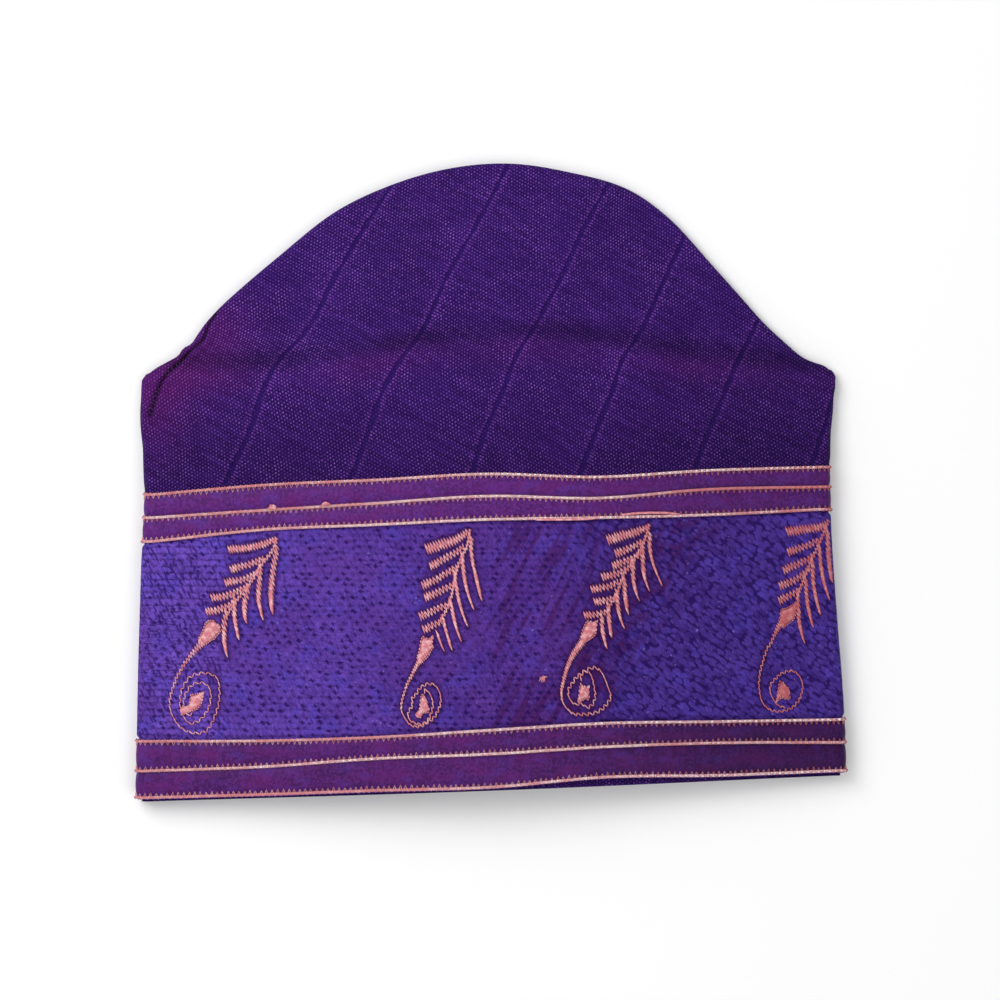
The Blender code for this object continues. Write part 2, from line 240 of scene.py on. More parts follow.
# Feathers of the band, in millimetres: the spine from the apex down, the barbs to the left from
# their blunt tips to the spine, the barbs that hang to the right from the spine to their tips, and
# the reach of the first barb's stitches at its tip, two places along it and its root
Feather = namedtuple("Feather", "name spine left right first_reach")
FEATHERS = [
    Feather(
        name="feather_1",
        spine=(
            (-86.0, -22.4), (-88.0, -27.6), (-92.0, -32.8), (-97.2, -40.8), (-102.8, -48.0), (-107.0, -54.0),
        ),
        left=(
            ((-106.0, -27.2), (-96.4, -26.2), (-91.6, -25.0), (-86.4, -22.8)),
            ((-105.2, -35.2), (-100.4, -34.0), (-96.4, -32.8), (-90.8, -30.4)),
            ((-107.4, -40.6), (-102.4, -39.8), (-98.0, -38.6), (-92.4, -35.6)),
            ((-112.8, -46.8), (-108.4, -46.2), (-104.0, -44.8), (-97.6, -41.8)),
            ((-115.0, -52.4), (-110.8, -51.6), (-107.6, -50.6), (-103.2, -48.0)),
        ),
        right=(
            ((-86.0, -25.6), (-87.8, -37.2), (-88.6, -46.4), (-88.2, -52.4)),
            ((-92.8, -33.6), (-93.4, -42.4), (-93.4, -48.8), (-92.0, -54.8)),
            ((-97.6, -41.2), (-99.0, -47.2), (-99.4, -52.8), (-98.8, -56.6)),
            ((-103.4, -46.0), (-103.4, -52.0), (-102.8, -58.0), (-101.8, -63.2)),
            ((-106.4, -52.0), (-107.6, -58.4), (-107.4, -65.2), (-106.6, -70.0)),
        ),
        first_reach=(2.0, 1.9, 1.8, 1.2),
    ),
    Feather(
        name="feather_2",
        spine=((-8.4, -18.8), (-9.6, -25.6), (-13.2, -33.6), (-14.8, -40.8), (-16.8, -48.8), (-20.4, -56.0)),
        left=(
            ((-26.0, -27.0), (-20.4, -25.2), (-14.4, -23.2), (-8.8, -19.6)),
            ((-24.4, -34.0), (-18.8, -30.8), (-14.4, -28.4), (-10.8, -25.6)),
            ((-27.6, -41.6), (-22.8, -39.4), (-17.6, -36.4), (-13.6, -33.8)),
            ((-26.6, -46.4), (-21.2, -44.2), (-17.2, -42.2), (-13.6, -40.4)),
            ((-28.6, -54.0), (-23.6, -51.8), (-19.2, -49.8), (-15.6, -48.4)),
            ((-27.2, -59.2), (-23.6, -57.6), (-21.6, -56.6), (-19.6, -55.6)),
        ),
        right=(
            ((-8.0, -21.6), (-7.8, -29.6), (-6.0, -38.0), (-4.0, -46.8)),
            ((-11.6, -28.4), (-10.8, -37.2), (-9.4, -44.0), (-7.2, -50.6)),
            ((-14.8, -35.2), (-13.8, -42.4), (-12.2, -50.0), (-9.6, -57.4)),
            ((-16.2, -47.2), (-15.2, -52.8), (-14.0, -58.0), (-12.2, -63.2)),
            ((-19.2, -54.0), (-18.4, -58.0), (-17.2, -62.4), (-16.0, -66.6)),
            ((-21.6, -60.0), (-21.0, -62.0), (-20.2, -64.4), (-19.2, -66.6)),
        ),
        first_reach=(2.7, 2.6, 2.1, 1.4),
    ),
    Feather(
        name="feather_3",
        spine=((63.6, -16.8), (61.6, -23.6), (57.6, -30.8), (53.2, -37.2), (50.4, -44.8), (46.4, -51.6)),
        left=(
            ((46.6, -23.4), (52.4, -21.6), (57.6, -20.2), (63.2, -18.0)),
            ((49.8, -29.0), (54.0, -27.2), (57.6, -25.6), (61.2, -23.4)),
            ((48.6, -33.8), (53.2, -32.0), (57.2, -30.4), (60.8, -28.0)),
            ((44.4, -38.2), (48.8, -37.2), (52.8, -35.8), (56.4, -33.6)),
            ((40.0, -43.0), (44.4, -42.4), (48.0, -41.6), (51.6, -39.6)),
            ((41.2, -48.0), (44.8, -47.6), (48.0, -47.0), (51.2, -45.8)),
            ((37.2, -53.4), (40.4, -53.2), (43.6, -52.8), (46.8, -51.8)),
        ),
        right=(
            ((63.8, -20.0), (63.8, -27.2), (65.6, -34.4), (68.4, -41.0)),
            ((61.0, -25.2), (61.0, -32.8), (61.6, -38.4), (63.2, -43.0)),
            ((57.0, -31.2), (57.0, -37.2), (57.6, -42.4), (59.0, -46.8)),
            ((53.4, -38.0), (53.6, -43.6), (54.0, -48.0), (54.6, -52.2)),
            ((50.4, -43.2), (50.8, -49.2), (51.6, -54.0), (53.2, -58.4)),
            ((47.0, -48.4), (47.2, -53.6), (47.6, -58.0), (48.0, -61.8)),
            ((44.4, -53.2), (44.6, -58.4), (45.2, -62.8), (46.2, -66.2)),
        ),
        first_reach=(2.6, 2.5, 2.1, 1.4),
    ),
    Feather(
        name="feather_4",
        spine=(
            (136.4, -15.2), (133.2, -23.2), (130.0, -30.0), (127.6, -35.6), (124.8, -42.8), (123.2, -48.4),
        ),
        left=(
            ((119.2, -20.0), (124.4, -19.4), (130.0, -18.6), (136.0, -17.4)),
            ((119.6, -28.4), (123.6, -27.0), (128.0, -25.6), (132.4, -23.2)),
            ((118.0, -35.8), (122.4, -33.6), (126.4, -32.0), (130.8, -29.2)),
            ((116.2, -42.0), (120.0, -40.6), (124.0, -38.6), (128.8, -34.8)),
            ((116.0, -48.0), (118.8, -46.6), (121.6, -45.2), (124.8, -43.2)),
        ),
        right=(
            ((136.0, -19.2), (136.2, -26.4), (136.8, -33.6), (137.4, -40.0)),
            ((132.4, -25.2), (133.2, -33.2), (134.4, -40.4), (136.2, -46.6)),
            ((129.8, -31.2), (130.0, -39.2), (131.0, -46.0), (132.8, -53.2)),
            ((127.0, -38.4), (127.4, -45.6), (128.2, -51.6), (129.6, -57.6)),
            ((123.8, -44.8), (124.0, -51.2), (124.6, -58.0), (126.2, -64.0)),
        ),
        first_reach=(2.6, 2.5, 2.3, 2.0),
    ),
]
LEFT_REACH = (2.1, 1.9, 1.7, 1.3)
RIGHT_REACH = (2.2, 2.6, 2.6, 1.5)

# Outlines of the filled drops between the feathers and their stems, in millimetres
DROPS = {
    "feather_1": (
        (-115.2, -56.8), (-113.8, -55.8), (-112.2, -55.6), (-110.6, -57.0), (-109.2, -58.0),
        (-109.0, -60.2), (-110.4, -61.8), (-111.4, -63.2), (-113.2, -64.0), (-115.0, -65.4),
        (-116.6, -66.0), (-118.2, -63.6), (-117.4, -61.8), (-116.4, -60.0),
    ),
    "feather_2": (
        (-27.4, -61.8), (-26.4, -62.2), (-25.2, -62.8), (-24.2, -62.4), (-23.3, -61.2), (-23.0, -62.4),
        (-23.5, -64.0), (-23.0, -66.1), (-24.0, -67.6), (-25.0, -69.6), (-26.8, -71.6), (-28.8, -71.6),
        (-29.8, -70.4), (-29.2, -69.0), (-28.4, -65.8), (-28.1, -63.4),
    ),
    "feather_3": (
        (37.8, -56.7), (38.8, -55.3), (39.8, -55.8), (41.0, -56.2), (42.8, -55.3), (42.4, -56.8),
        (42.3, -58.9), (42.0, -60.8), (40.4, -62.5), (38.6, -63.6), (37.6, -64.4), (35.9, -61.8),
        (36.8, -58.9),
    ),
    "feather_4": (
        (116.8, -51.6), (117.9, -51.0), (119.6, -50.8), (120.6, -50.0), (121.8, -49.3), (123.2, -48.4),
        (123.7, -49.2), (123.4, -50.8), (123.0, -52.9), (122.2, -55.5), (120.6, -56.8), (118.8, -58.0),
        (117.7, -58.9), (116.4, -55.8), (116.5, -54.4),
    ),
}

# Middle line of each stem from its drop round its curl, in millimetres
STEMS = {
    "feather_1": (
        (-116.4, -64.4), (-118.4, -66.8), (-120.4, -69.0), (-124.0, -73.9),
        (-126.8, -78.8), (-128.6, -83.6), (-129.8, -89.0), (-128.6, -94.3), (-125.1, -99.2),
        (-120.0, -101.2), (-114.6, -100.1), (-111.7, -95.2), (-110.0, -89.9), (-109.4, -84.1),
        (-110.6, -78.8), (-115.7, -77.0), (-121.3, -78.5), (-124.2, -82.3), (-125.5, -87.2),
        (-125.1, -92.5), (-122.8, -96.5), (-121.1, -97.6), (-116.4, -95.0), (-113.5, -89.9),
        (-113.1, -84.5), (-115.3, -81.2), (-120.0, -81.4), (-122.8, -84.5), (-124.2, -89.4),
        (-124.0, -92.1), (-122.8, -93.9), (-120.2, -93.4),
    ),
    "feather_2": (
        (-27.9, -71.0), (-29.7, -73.5), (-31.2, -76.5), (-33.1, -79.9),
        (-34.6, -83.9), (-35.6, -87.5), (-35.9, -91.5), (-34.4, -94.7), (-32.2, -97.4), (-28.7, -98.0),
        (-25.7, -96.5), (-22.7, -94.2), (-20.9, -90.9), (-20.1, -87.5), (-20.6, -84.2), (-22.7, -81.2),
        (-25.7, -80.9), (-28.7, -82.7), (-30.1, -85.2), (-31.5, -86.5), (-31.6, -89.9), (-32.9, -91.5),
        (-33.2, -94.2), (-31.4, -96.2), (-28.4, -97.0), (-25.7, -95.9), (-24.2, -93.2), (-23.4, -90.5),
        (-23.4, -87.9), (-24.4, -84.9), (-26.1, -83.2), (-27.2, -85.2),
    ),
    "feather_3": (
        (36.9, -63.0), (35.3, -65.8), (32.8, -69.3), (31.2, -72.5), (29.8, -76.4),
        (28.9, -80.4), (28.2, -84.3), (28.9, -88.5), (30.7, -91.0), (33.4, -93.0), (36.0, -93.2),
        (40.7, -92.8), (44.6, -91.0), (47.1, -88.2), (48.1, -86.0), (47.1, -82.8), (46.0, -79.6),
        (43.9, -75.7), (41.0, -74.3), (37.8, -75.6), (34.6, -77.9), (32.5, -80.7), (30.9, -83.9),
        (31.6, -87.1), (33.9, -89.2), (35.7, -88.5), (37.8, -90.0), (40.0, -90.0), (41.6, -87.1),
        (41.6, -83.6), (40.8, -79.6), (39.6, -76.6), (37.5, -75.7), (36.0, -77.9), (36.0, -80.4),
    ),
    "feather_4": (
        (117.0, -56.8), (115.6, -58.9), (112.9, -64.6), (111.1, -67.6), (109.6, -72.4),
        (108.4, -77.2), (108.1, -83.2), (109.3, -88.6), (112.3, -91.7), (116.5, -92.5), (120.4, -91.5),
        (123.7, -88.9), (125.7, -83.8), (124.9, -79.0), (122.2, -76.4), (118.3, -76.6), (115.0, -79.0),
        (112.7, -82.0), (112.6, -85.0), (114.1, -88.0), (116.5, -90.4), (119.5, -90.9),
    ),
}

# Reach of the stem's stitches to either side and the pitch of its zigzag, in millimetres, at these
# distances along the stem
STEM_STATIONS = (0.0, 3.0, 6.0, 12.0, 22.0, 37.0, 200.0)
STEM_REACHES = {
    "feather_1": (2.1, 1.6, 1.3, 1.1, 0.9, 0.75, 0.7),
    "feather_2": (1.8, 1.2, 1.0, 0.85, 0.8, 0.8, 0.8),
    "feather_3": (2.2, 1.9, 1.7, 1.4, 1.1, 0.9, 0.9),
    "feather_4": (2.0, 1.4, 1.0, 0.8, 0.7, 0.7, 0.7),
}
STEM_PITCHES = {
    "feather_1": (1.0, 1.2, 1.4, 1.7, 2.2, 2.8, 3.0),
    "feather_2": (0.85, 0.95, 1.2, 1.5, 1.8, 2.2, 2.3),
    "feather_3": (0.85, 0.9, 0.9, 1.0, 1.2, 2.3, 2.6),
    "feather_4": (0.85, 1.1, 1.5, 2.0, 2.2, 2.0, 1.9),
}

# Outlines of the filled spots inside the curls, in millimetres
SPOTS = {
    "feather_1": (
        (-121.1, -85.6), (-118.4, -85.4), (-115.7, -84.5), (-116.3, -87.2), (-117.1, -89.9),
        (-118.6, -91.6), (-121.3, -92.5), (-125.1, -94.1), (-125.2, -91.0), (-122.0, -90.3),
    ),
    "feather_2": (
        (-28.2, -85.9), (-27.2, -84.9), (-26.6, -86.5), (-25.4, -88.2), (-24.7, -91.2), (-25.1, -92.4),
        (-27.4, -92.5), (-28.4, -94.7), (-29.4, -94.3), (-30.4, -93.2), (-28.7, -91.4), (-28.4, -89.2),
    ),
    "feather_3": (
        (36.0, -80.4), (36.8, -81.4), (38.0, -82.2), (39.5, -81.4), (39.2, -83.6), (39.4, -86.4),
        (38.9, -87.5), (37.6, -86.7), (36.8, -87.6), (34.7, -88.2), (35.2, -86.0), (35.4, -82.8),
    ),
    "feather_4": (
        (116.4, -79.9), (118.3, -81.1), (119.8, -82.9), (120.7, -85.3), (120.5, -87.7), (118.9, -87.5),
        (117.1, -86.9), (114.9, -88.9), (115.3, -86.2), (115.9, -83.2),
    ),
}

# Loose bunches of thread: a tuft on the band and two knots on the second cord
Tuft = namedtuple("Tuft", "name x y reach flat lift threads thickness")
TUFTS = [
    Tuft("loose_tuft", 0.0208, -0.0788, reach=0.0014, flat=1.0, lift=0.0, threads=9, thickness=0.00032),
    Tuft("cord_knot_1", -0.0880, -0.0102, reach=0.0018, flat=0.3, lift=0.0009, threads=9, thickness=0.0005),
    Tuft("cord_knot_2", -0.0664, -0.0090, reach=0.0015, flat=0.3, lift=0.0009, threads=8, thickness=0.0005),
]

# Short strands beside the third cord, in millimetres
STRAY_STRANDS = (
    ((18.0, -15.0), (27.6, -15.0), (37.6, -14.8), (43.6, -14.2)),
    ((52.4, -13.2), (59.6, -12.5), (69.6, -12.4), (75.6, -13.0)),
)

# Couching stitch: share of a tooth's pitch, reach to the tooth's side and lift out of the cap, both
# in radii of the cord. The beat without a reach is the tooth.
Beat = namedtuple("Beat", "share reach lift")
BEATS = (
    Beat(share=-0.20, reach=0.90, lift=0.10),
    Beat(share=0.00, reach=None, lift=0.25),
    Beat(share=0.20, reach=0.90, lift=0.10),
    Beat(share=0.33, reach=0.00, lift=1.25),
    Beat(share=0.50, reach=-1.15, lift=0.30),
    Beat(share=0.67, reach=0.00, lift=1.25),
)

# All the embroidery's stitches are thrown along this direction
THROW_ANGLE = math.radians(-62.0)
THROW = np.array([math.cos(THROW_ANGLE), math.sin(THROW_ANGLE)])

# The picture that the tables are measured on is taken from above: its distance, the level where its
# scale holds, the width of its sensor in millimetres, its middle, and the embroidery's level
VIEW_DISTANCE = 1.5
VIEW_LEVEL = 0.012
SENSOR_WIDTH = 36.0
VIEW_MIDDLE = (0.0036, -0.0072)
PANEL_LEVEL = 0.0246


def smooth_step(share):
    """Return an even ease from 0 to 1 while the share goes from 0 to 1."""
    held = np.clip(share, 0.0, 1.0)
    return held * held * (3.0 - 2.0 * held)


def mix(low, high, share):
    return low + (high - low) * share


def bell(distance, width):
    return np.exp(-((distance / width) ** 2))


def smooth_curve(stations, values, place):
    """Return the smooth curve through the values at rising stations."""
    stations = np.asarray(stations, float)
    values = np.asarray(values, float)
    place = np.clip(place, stations[0], stations[-1])
    last = len(stations) - 1
    left = np.clip(np.searchsorted(stations, place, side="right") - 1, 0, last - 1)
    right = left + 1
    before = np.maximum(left - 1, 0)
    after = np.minimum(right + 1, last)
    span = stations[right] - stations[left]
    left_slope = (values[right] - values[before]) / (stations[right] - stations[before])
    right_slope = (values[after] - values[left]) / (stations[after] - stations[left])
    share = (place - stations[left]) / span
    bend = share * share * (3.0 - 2.0 * share)
    slopes = span * (left_slope * share * (1.0 - share) ** 2 - right_slope * share**2 * (1.0 - share))
    return mix(values[left], values[right], bend) + slopes


def metres(places):
    """Return measures given in millimetres as metres."""
    return 0.001 * np.array(places)


def table_curve(table, place_column, value_column, place):
    stations = [getattr(row, place_column) for row in table]
    values = [getattr(row, value_column) for row in table]
    return smooth_curve(stations, values, place)


def station_curve(row, place):
    """Return the curve through a row's seven stations across the front."""
    return smooth_curve(np.linspace(0.0, 1.0, len(row) - 1), row[1:], place)


def named(table, name):
    return next(row for row in table if row.name == name)


def skew(across):
    """Return how far the slanting band rises at this share of the width."""
    return BAND_SKEW * (across - 0.5)


def dome_height(across):
    return BAND_HEIGHT + TUBE_RISE + DOME_RISE * table_curve(DOME, "across", "rise", across)


def dome_steepness(across):
    """Return how much longer the seam is than its width here."""
    step = 0.01
    low = np.maximum(across - step, 0.0)
    high = np.minimum(across + step, 1.0)
    width = SECTIONS[-1].wide * RIM_WIDTH * (high - low)
    return np.hypot(1.0, (dome_height(high) - dome_height(low)) / width)


def crease_height(across):
    return BAND_HEIGHT + TUBE_RISE + DOME_RISE * table_curve(CREASE, "across", "rise", across)


MIDDLE_HEIGHT = 0.5 * (skew(0.0) + BAND_HEIGHT + TUBE_RISE + DOME_RISE)


def edges(height, across):
    """Return the left and right edge of the tube at a height above the middle of the rim."""
    above_rim = height - skew(across)
    in_band = above_rim / BAND_HEIGHT
    above_band = 1.0 + (above_rim - BAND_HEIGHT) / (TUBE_RISE - skew(across))
    level = np.where(above_rim <= BAND_HEIGHT, in_band, above_band)
    width = RIM_WIDTH * table_curve(SECTIONS, "height", "wide", level)
    middle = RIM_WIDTH * table_curve(SECTIONS, "height", "lean", level)
    return middle - 0.5 * width, middle + 0.5 * width


def full_loft(height, across):
    """Return the height of the middle of the front above the plane, away from the seam."""
    band_share = (height - skew(across)) / BAND_HEIGHT
    low = mix(RIM_LOFT, BAND_LOFT, smooth_step(2.0 * band_share))
    high = mix(BAND_LOFT, CROWN_LOFT, smooth_step(2.0 * band_share - 1.0))
    loft = np.where(band_share < 0.5, low, high)
    past_crease = smooth_step((height - crease_height(across)) / CREASE_WIDTH + 0.5)
    return mix(loft, DOME_LOFT, past_crease)


Ring = namedtuple("Ring", "across turn side")


def ring_of(flat_steps, fold_steps):
    """Return columns round the tube, from the left fold over the back and the front to it again."""
    flat = np.linspace(0.0, 1.0, flat_steps + 1)
    quarter = np.linspace(0.0, 0.5 * math.pi, fold_steps + 1)
    opening = quarter[:0:-1]
    right = np.concatenate((quarter[1:], math.pi - quarter[-2:0:-1]))
    closing = math.pi - quarter[1:]
    still = np.zeros_like(flat)
    across = np.concatenate((0.0 * opening, flat, 0.0 * right + 1.0, flat[::-1], 0.0 * closing))
    turn = np.concatenate((opening, still, right, still + math.pi, closing))
    side = np.concatenate((0.0 * opening - 1.0, still, 0.0 * right + 1.0, still, 0.0 * closing - 1.0))
    return Ring(across, turn, side)


def front_share(ring):
    """Return 1 on the front, 0 on the back and an even ease over the folds."""
    return 0.5 - 0.5 * np.cos(ring.turn)


def trim_height(name, ring):
    """Return the height of a braid's middle line above the rim. It runs straight over the back."""
    line = named(TRIM_LINES, name)
    straight = BAND_HEIGHT * mix(line.far_left, line.far_right, ring.across)
    waved = BAND_HEIGHT * station_curve(line, ring.across)
    return np.where(ring.turn <= 0.5 * math.pi, straight, waved)


def line_height(name, ring, offset=0.0):
    return skew(ring.across) + trim_height(name, ring) + offset


def seam_height(ring):
    return dome_height(ring.across) - EAR_ROUNDING * np.abs(ring.side) * np.sin(ring.turn) ** 2


def tube_point(ring, height, depth, seam_distance=FAR_FROM_SEAM, above_band=0.0):
    """Return points of the flattened tube at a depth below its outside."""
    swell = np.maximum(np.sin(math.pi * ring.across), 0.0) ** 1.4
    open_loft = mix(2.0 * FOLD_RADIUS, full_loft(height, ring.across), swell)
    taper = 1.0 - above_band * (1.0 - smooth_step(seam_distance / SEAM_TAPER))
    loft = mix(SEAM_LOFT, open_loft, taper)
    near_seam = 1.0 - np.clip(seam_distance / SEAM_ROUNDING, 0.0, 1.0)
    closing = np.sqrt(1.0 - near_seam * near_seam)
    middle_level = mix(0.5 * SEAM_LOFT, 0.5 * loft, closing)
    half_loft = 0.5 * loft * closing - depth
    left, right = edges(height, ring.across)
    fold = np.minimum(FOLD_RADIUS, 0.5 * loft)
    x = mix(left + fold, right - fold, ring.across)
    x = x + ring.side * (fold - depth) * np.sin(ring.turn)
    z = middle_level - half_loft * np.cos(ring.turn)
    y = np.broadcast_to(height - MIDDLE_HEIGHT, z.shape)
    return np.stack((x + 0.0 * z, y, z), axis=-1)


def unrolled(ring, points):
    """Return the distance across the cap, measured on round its folds."""
    past_flat = ring.side * FOLD_RADIUS * np.minimum(ring.turn, math.pi - ring.turn)
    flat_x = points[..., 0] - ring.side * FOLD_RADIUS * np.sin(ring.turn)
    return flat_x + past_flat


def front_ring(x, height, fold, limit):
    """Return where places seen from above lie round the tube, on its front and its folds."""
    across = x / RIM_WIDTH + 0.5
    for _ in range(4):
        left, right = edges(height, np.clip(across, 0.0, 1.0))
        across = (x - left - FOLD_RADIUS) / (right - left - 2.0 * FOLD_RADIUS)
    held = np.clip(across, 0.0, 1.0)
    left, right = edges(height, held)
    flat_x = mix(left + FOLD_RADIUS, right - FOLD_RADIUS, held)
    past = np.clip((x - flat_x) / fold, -limit, limit)
    return Ring(held, math.pi - np.arcsin(np.abs(past)), np.sign(past))


def on_front(x, y, depth):
    """Return points of the front's outside at places seen from above, at a depth below it."""
    x, y, depth = np.broadcast_arrays(np.asarray(x, float), np.asarray(y, float), depth)
    height = y + MIDDLE_HEIGHT
    return tube_point(front_ring(x, height, FOLD_RADIUS - depth, 0.985), height, depth)


def on_back(x, y, depth):
    """Return points of the back, which lies flat on the plane."""
    placed = on_front(x, y, depth)
    placed[..., 2] = depth
    return placed


def scale_at(level):
    """Return how much larger than life the picture shows what lies at a level."""
    return VIEW_DISTANCE / (VIEW_DISTANCE + VIEW_LEVEL - level)


def on_panel(points):
    """Return places on the band for points measured on the picture, in metres."""
    middle = np.array(VIEW_MIDDLE)
    return middle + (points - middle) / scale_at(PANEL_LEVEL)


def stripe_line(stripe, y):
    """Return where a stripe crosses a height, running on straight past its levels."""
    past = np.minimum(y - STRIPE_LEVELS[0], 0.0) + np.maximum(y - STRIPE_LEVELS[-1], 0.0)
    return smooth_curve(STRIPE_LEVELS, stripe, y) + STRIPE_SLOPE * past


def stripe_number(x, y):
    """Return which woven stripe lies here, whole on a stripe and rising to the right."""
    lines = [stripe_line(stripe, y) for stripe in STRIPES]
    number = np.zeros_like(x)
    for index in range(len(lines) - 1):
        low, high = lines[index], lines[index + 1]
        place = index + (x - low) / (high - low)
        here = (x >= low) | (index == 0)
        number = np.where(here, place, number)
    return number


def path_distance(x, y, path):
    """Return the distance from places to a path of spots."""
    nearest = np.full_like(x, 1.0)
    for start, end in zip(path[:-1], path[1:]):
        run_x, run_y = end.x - start.x, end.y - start.y
        share = ((x - start.x) * run_x + (y - start.y) * run_y) / (run_x**2 + run_y**2)
        share = np.clip(share, 0.0, 1.0)
        away = np.hypot(x - start.x - share * run_x, y - start.y - share * run_y)
        nearest = np.minimum(nearest, away)
    return nearest


def drift(x, y, pitch, seed):
    """Return a soft uneven wave between about -1 and 1, from a few crossing waves."""
    random = np.random.default_rng(seed)
    total = np.zeros_like(x)
    waves = 6
    for _ in range(waves):
        angle = random.uniform(0.0, 2.0 * math.pi)
        length = pitch * random.uniform(0.7, 1.5)
        phase = random.uniform(0.0, 2.0 * math.pi)
        total = total + np.sin((x * math.cos(angle) + y * math.sin(angle)) * 2.0 * math.pi / length + phase)
    return total / math.sqrt(3.0 * waves)


class Wire:
    """A node's output that takes part in Python sums."""

    def __init__(self, finish, socket):
        self.finish = finish
        self.socket = socket

    def sum(self, operation, *others):
        return self.finish.node("ShaderNodeMath", {"operation": operation}, dict(enumerate((self, *others))))

    def __add__(self, other):
        return self.sum("ADD", other)

    __radd__ = __add__

    def __sub__(self, other):
        return self.sum("SUBTRACT", other)

    def __rsub__(self, other):
        return self.finish.node("ShaderNodeMath", {"operation": "SUBTRACT"}, {0: other, 1: self})

    def __mul__(self, other):
        return self.sum("MULTIPLY", other)

    __rmul__ = __mul__

    def __truediv__(self, other):
        return self.sum("DIVIDE", other)

    def wave(self):
        """Return an even wave from 0 to 1 that peaks at each whole number."""
        return (self * (2.0 * math.pi)).sum("COSINE") * 0.5 + 0.5

    def whole_distance(self):
        """Return the distance to the nearest whole number."""
        return ((self + 0.5).sum("FRACT") - 0.5).sum("ABSOLUTE")

    def size(self):
        return self.sum("ABSOLUTE")

    def most(self, other):
        return self.sum("MAXIMUM", other)

    def ease(self, low, high):
        """Return an ease from 0 at low to 1 at high."""
        return self.finish.node(
            "ShaderNodeMapRange",
            {"interpolation_type": "SMOOTHSTEP"},
            {"Value": self, "From Min": low, "From Max": high, "To Min": 0.0, "To Max": 1.0},
        )


class Finish:
    """A material while it is being made."""

    def __init__(self, name, **constants):
        self.material = bpy.data.materials.new(name)
        self.material.use_nodes = True
        self.tree = self.material.node_tree
        self.shader = self.tree.nodes["Principled BSDF"]
        for socket, value in constants.items():
            self.fill(self.shader.inputs[socket.replace("_", " ")], value)

    def fill(self, socket, value):
        if isinstance(value, Wire):
            self.tree.links.new(value.socket, socket)
        elif socket.type == "RGBA" and len(value) == 3:
            socket.default_value = (*value, 1.0)
        else:
            socket.default_value = value

    def node(self, kind, settings=None, sockets=None, output=0):
        """Add a node with its settings first, fill its sockets and return one of its outputs."""
        made = self.tree.nodes.new(kind)
        for name, value in (settings or {}).items():
            setattr(made, name, value)
        for key, value in (sockets or {}).items():
            self.fill(made.inputs[key], value)
        return Wire(self, made.outputs[output])

    def places(self):
        return self.node("ShaderNodeTexCoord", output=3)

    def split(self, vector):
        """Return the three parts of a vector or a colour."""
        parts = self.node("ShaderNodeSeparateXYZ", None, {0: vector})
        return [Wire(self, output) for output in parts.socket.node.outputs]

    def join(self, x, y):
        return self.node("ShaderNodeCombineXYZ", None, {0: x, 1: y})

    def weave(self):
        """Return the piece's own map and its two places, in metres."""
        chart = self.node("ShaderNodeUVMap", {"uv_map": "cloth"})
        across, along, _ = self.split(chart)
        return chart, across, along

    def turned(self, across, along, angle, length, width):
        """Return places counted in lengths along an angle and in widths square to it."""
        forward = across * (math.cos(angle) / length) + along * (math.sin(angle) / length)
        sideways = along * (math.cos(angle) / width) - across * (math.sin(angle) / width)
        return self.join(forward, sideways)

    def stretched(self, vector, scale):
        return self.node("ShaderNodeMapping", None, {"Vector": vector, "Scale": scale})

    def noise(self, vector, scale, detail=2.0, roughness=0.5, output=0):
        sockets = {"Vector": vector, "Scale": scale, "Detail": detail, "Roughness": roughness}
        return self.node("ShaderNodeTexNoise", None, sockets, output)

    def mark(self, name):
        """Return a value that the mesh carries."""
        return self.node("ShaderNodeAttribute", {"attribute_name": name}, output=2)

    def blend(self, share, low, high):
        settings = {"data_type": "RGBA", "clamp_factor": True}
        return self.node("ShaderNodeMix", settings, {0: share, 6: low, 7: high}, 2)

    def paint(self, **wires):
        for socket, wire in wires.items():
            self.fill(self.shader.inputs[socket.replace("_", " ")], wire)

    def emboss(self, height, distance, strength=1.0):
        """Feed a height in shares of a distance to the shader's normal."""
        sockets = {"Strength": strength, "Distance": distance, "Height": height}
        self.paint(Normal=self.node("ShaderNodeBump", None, sockets))


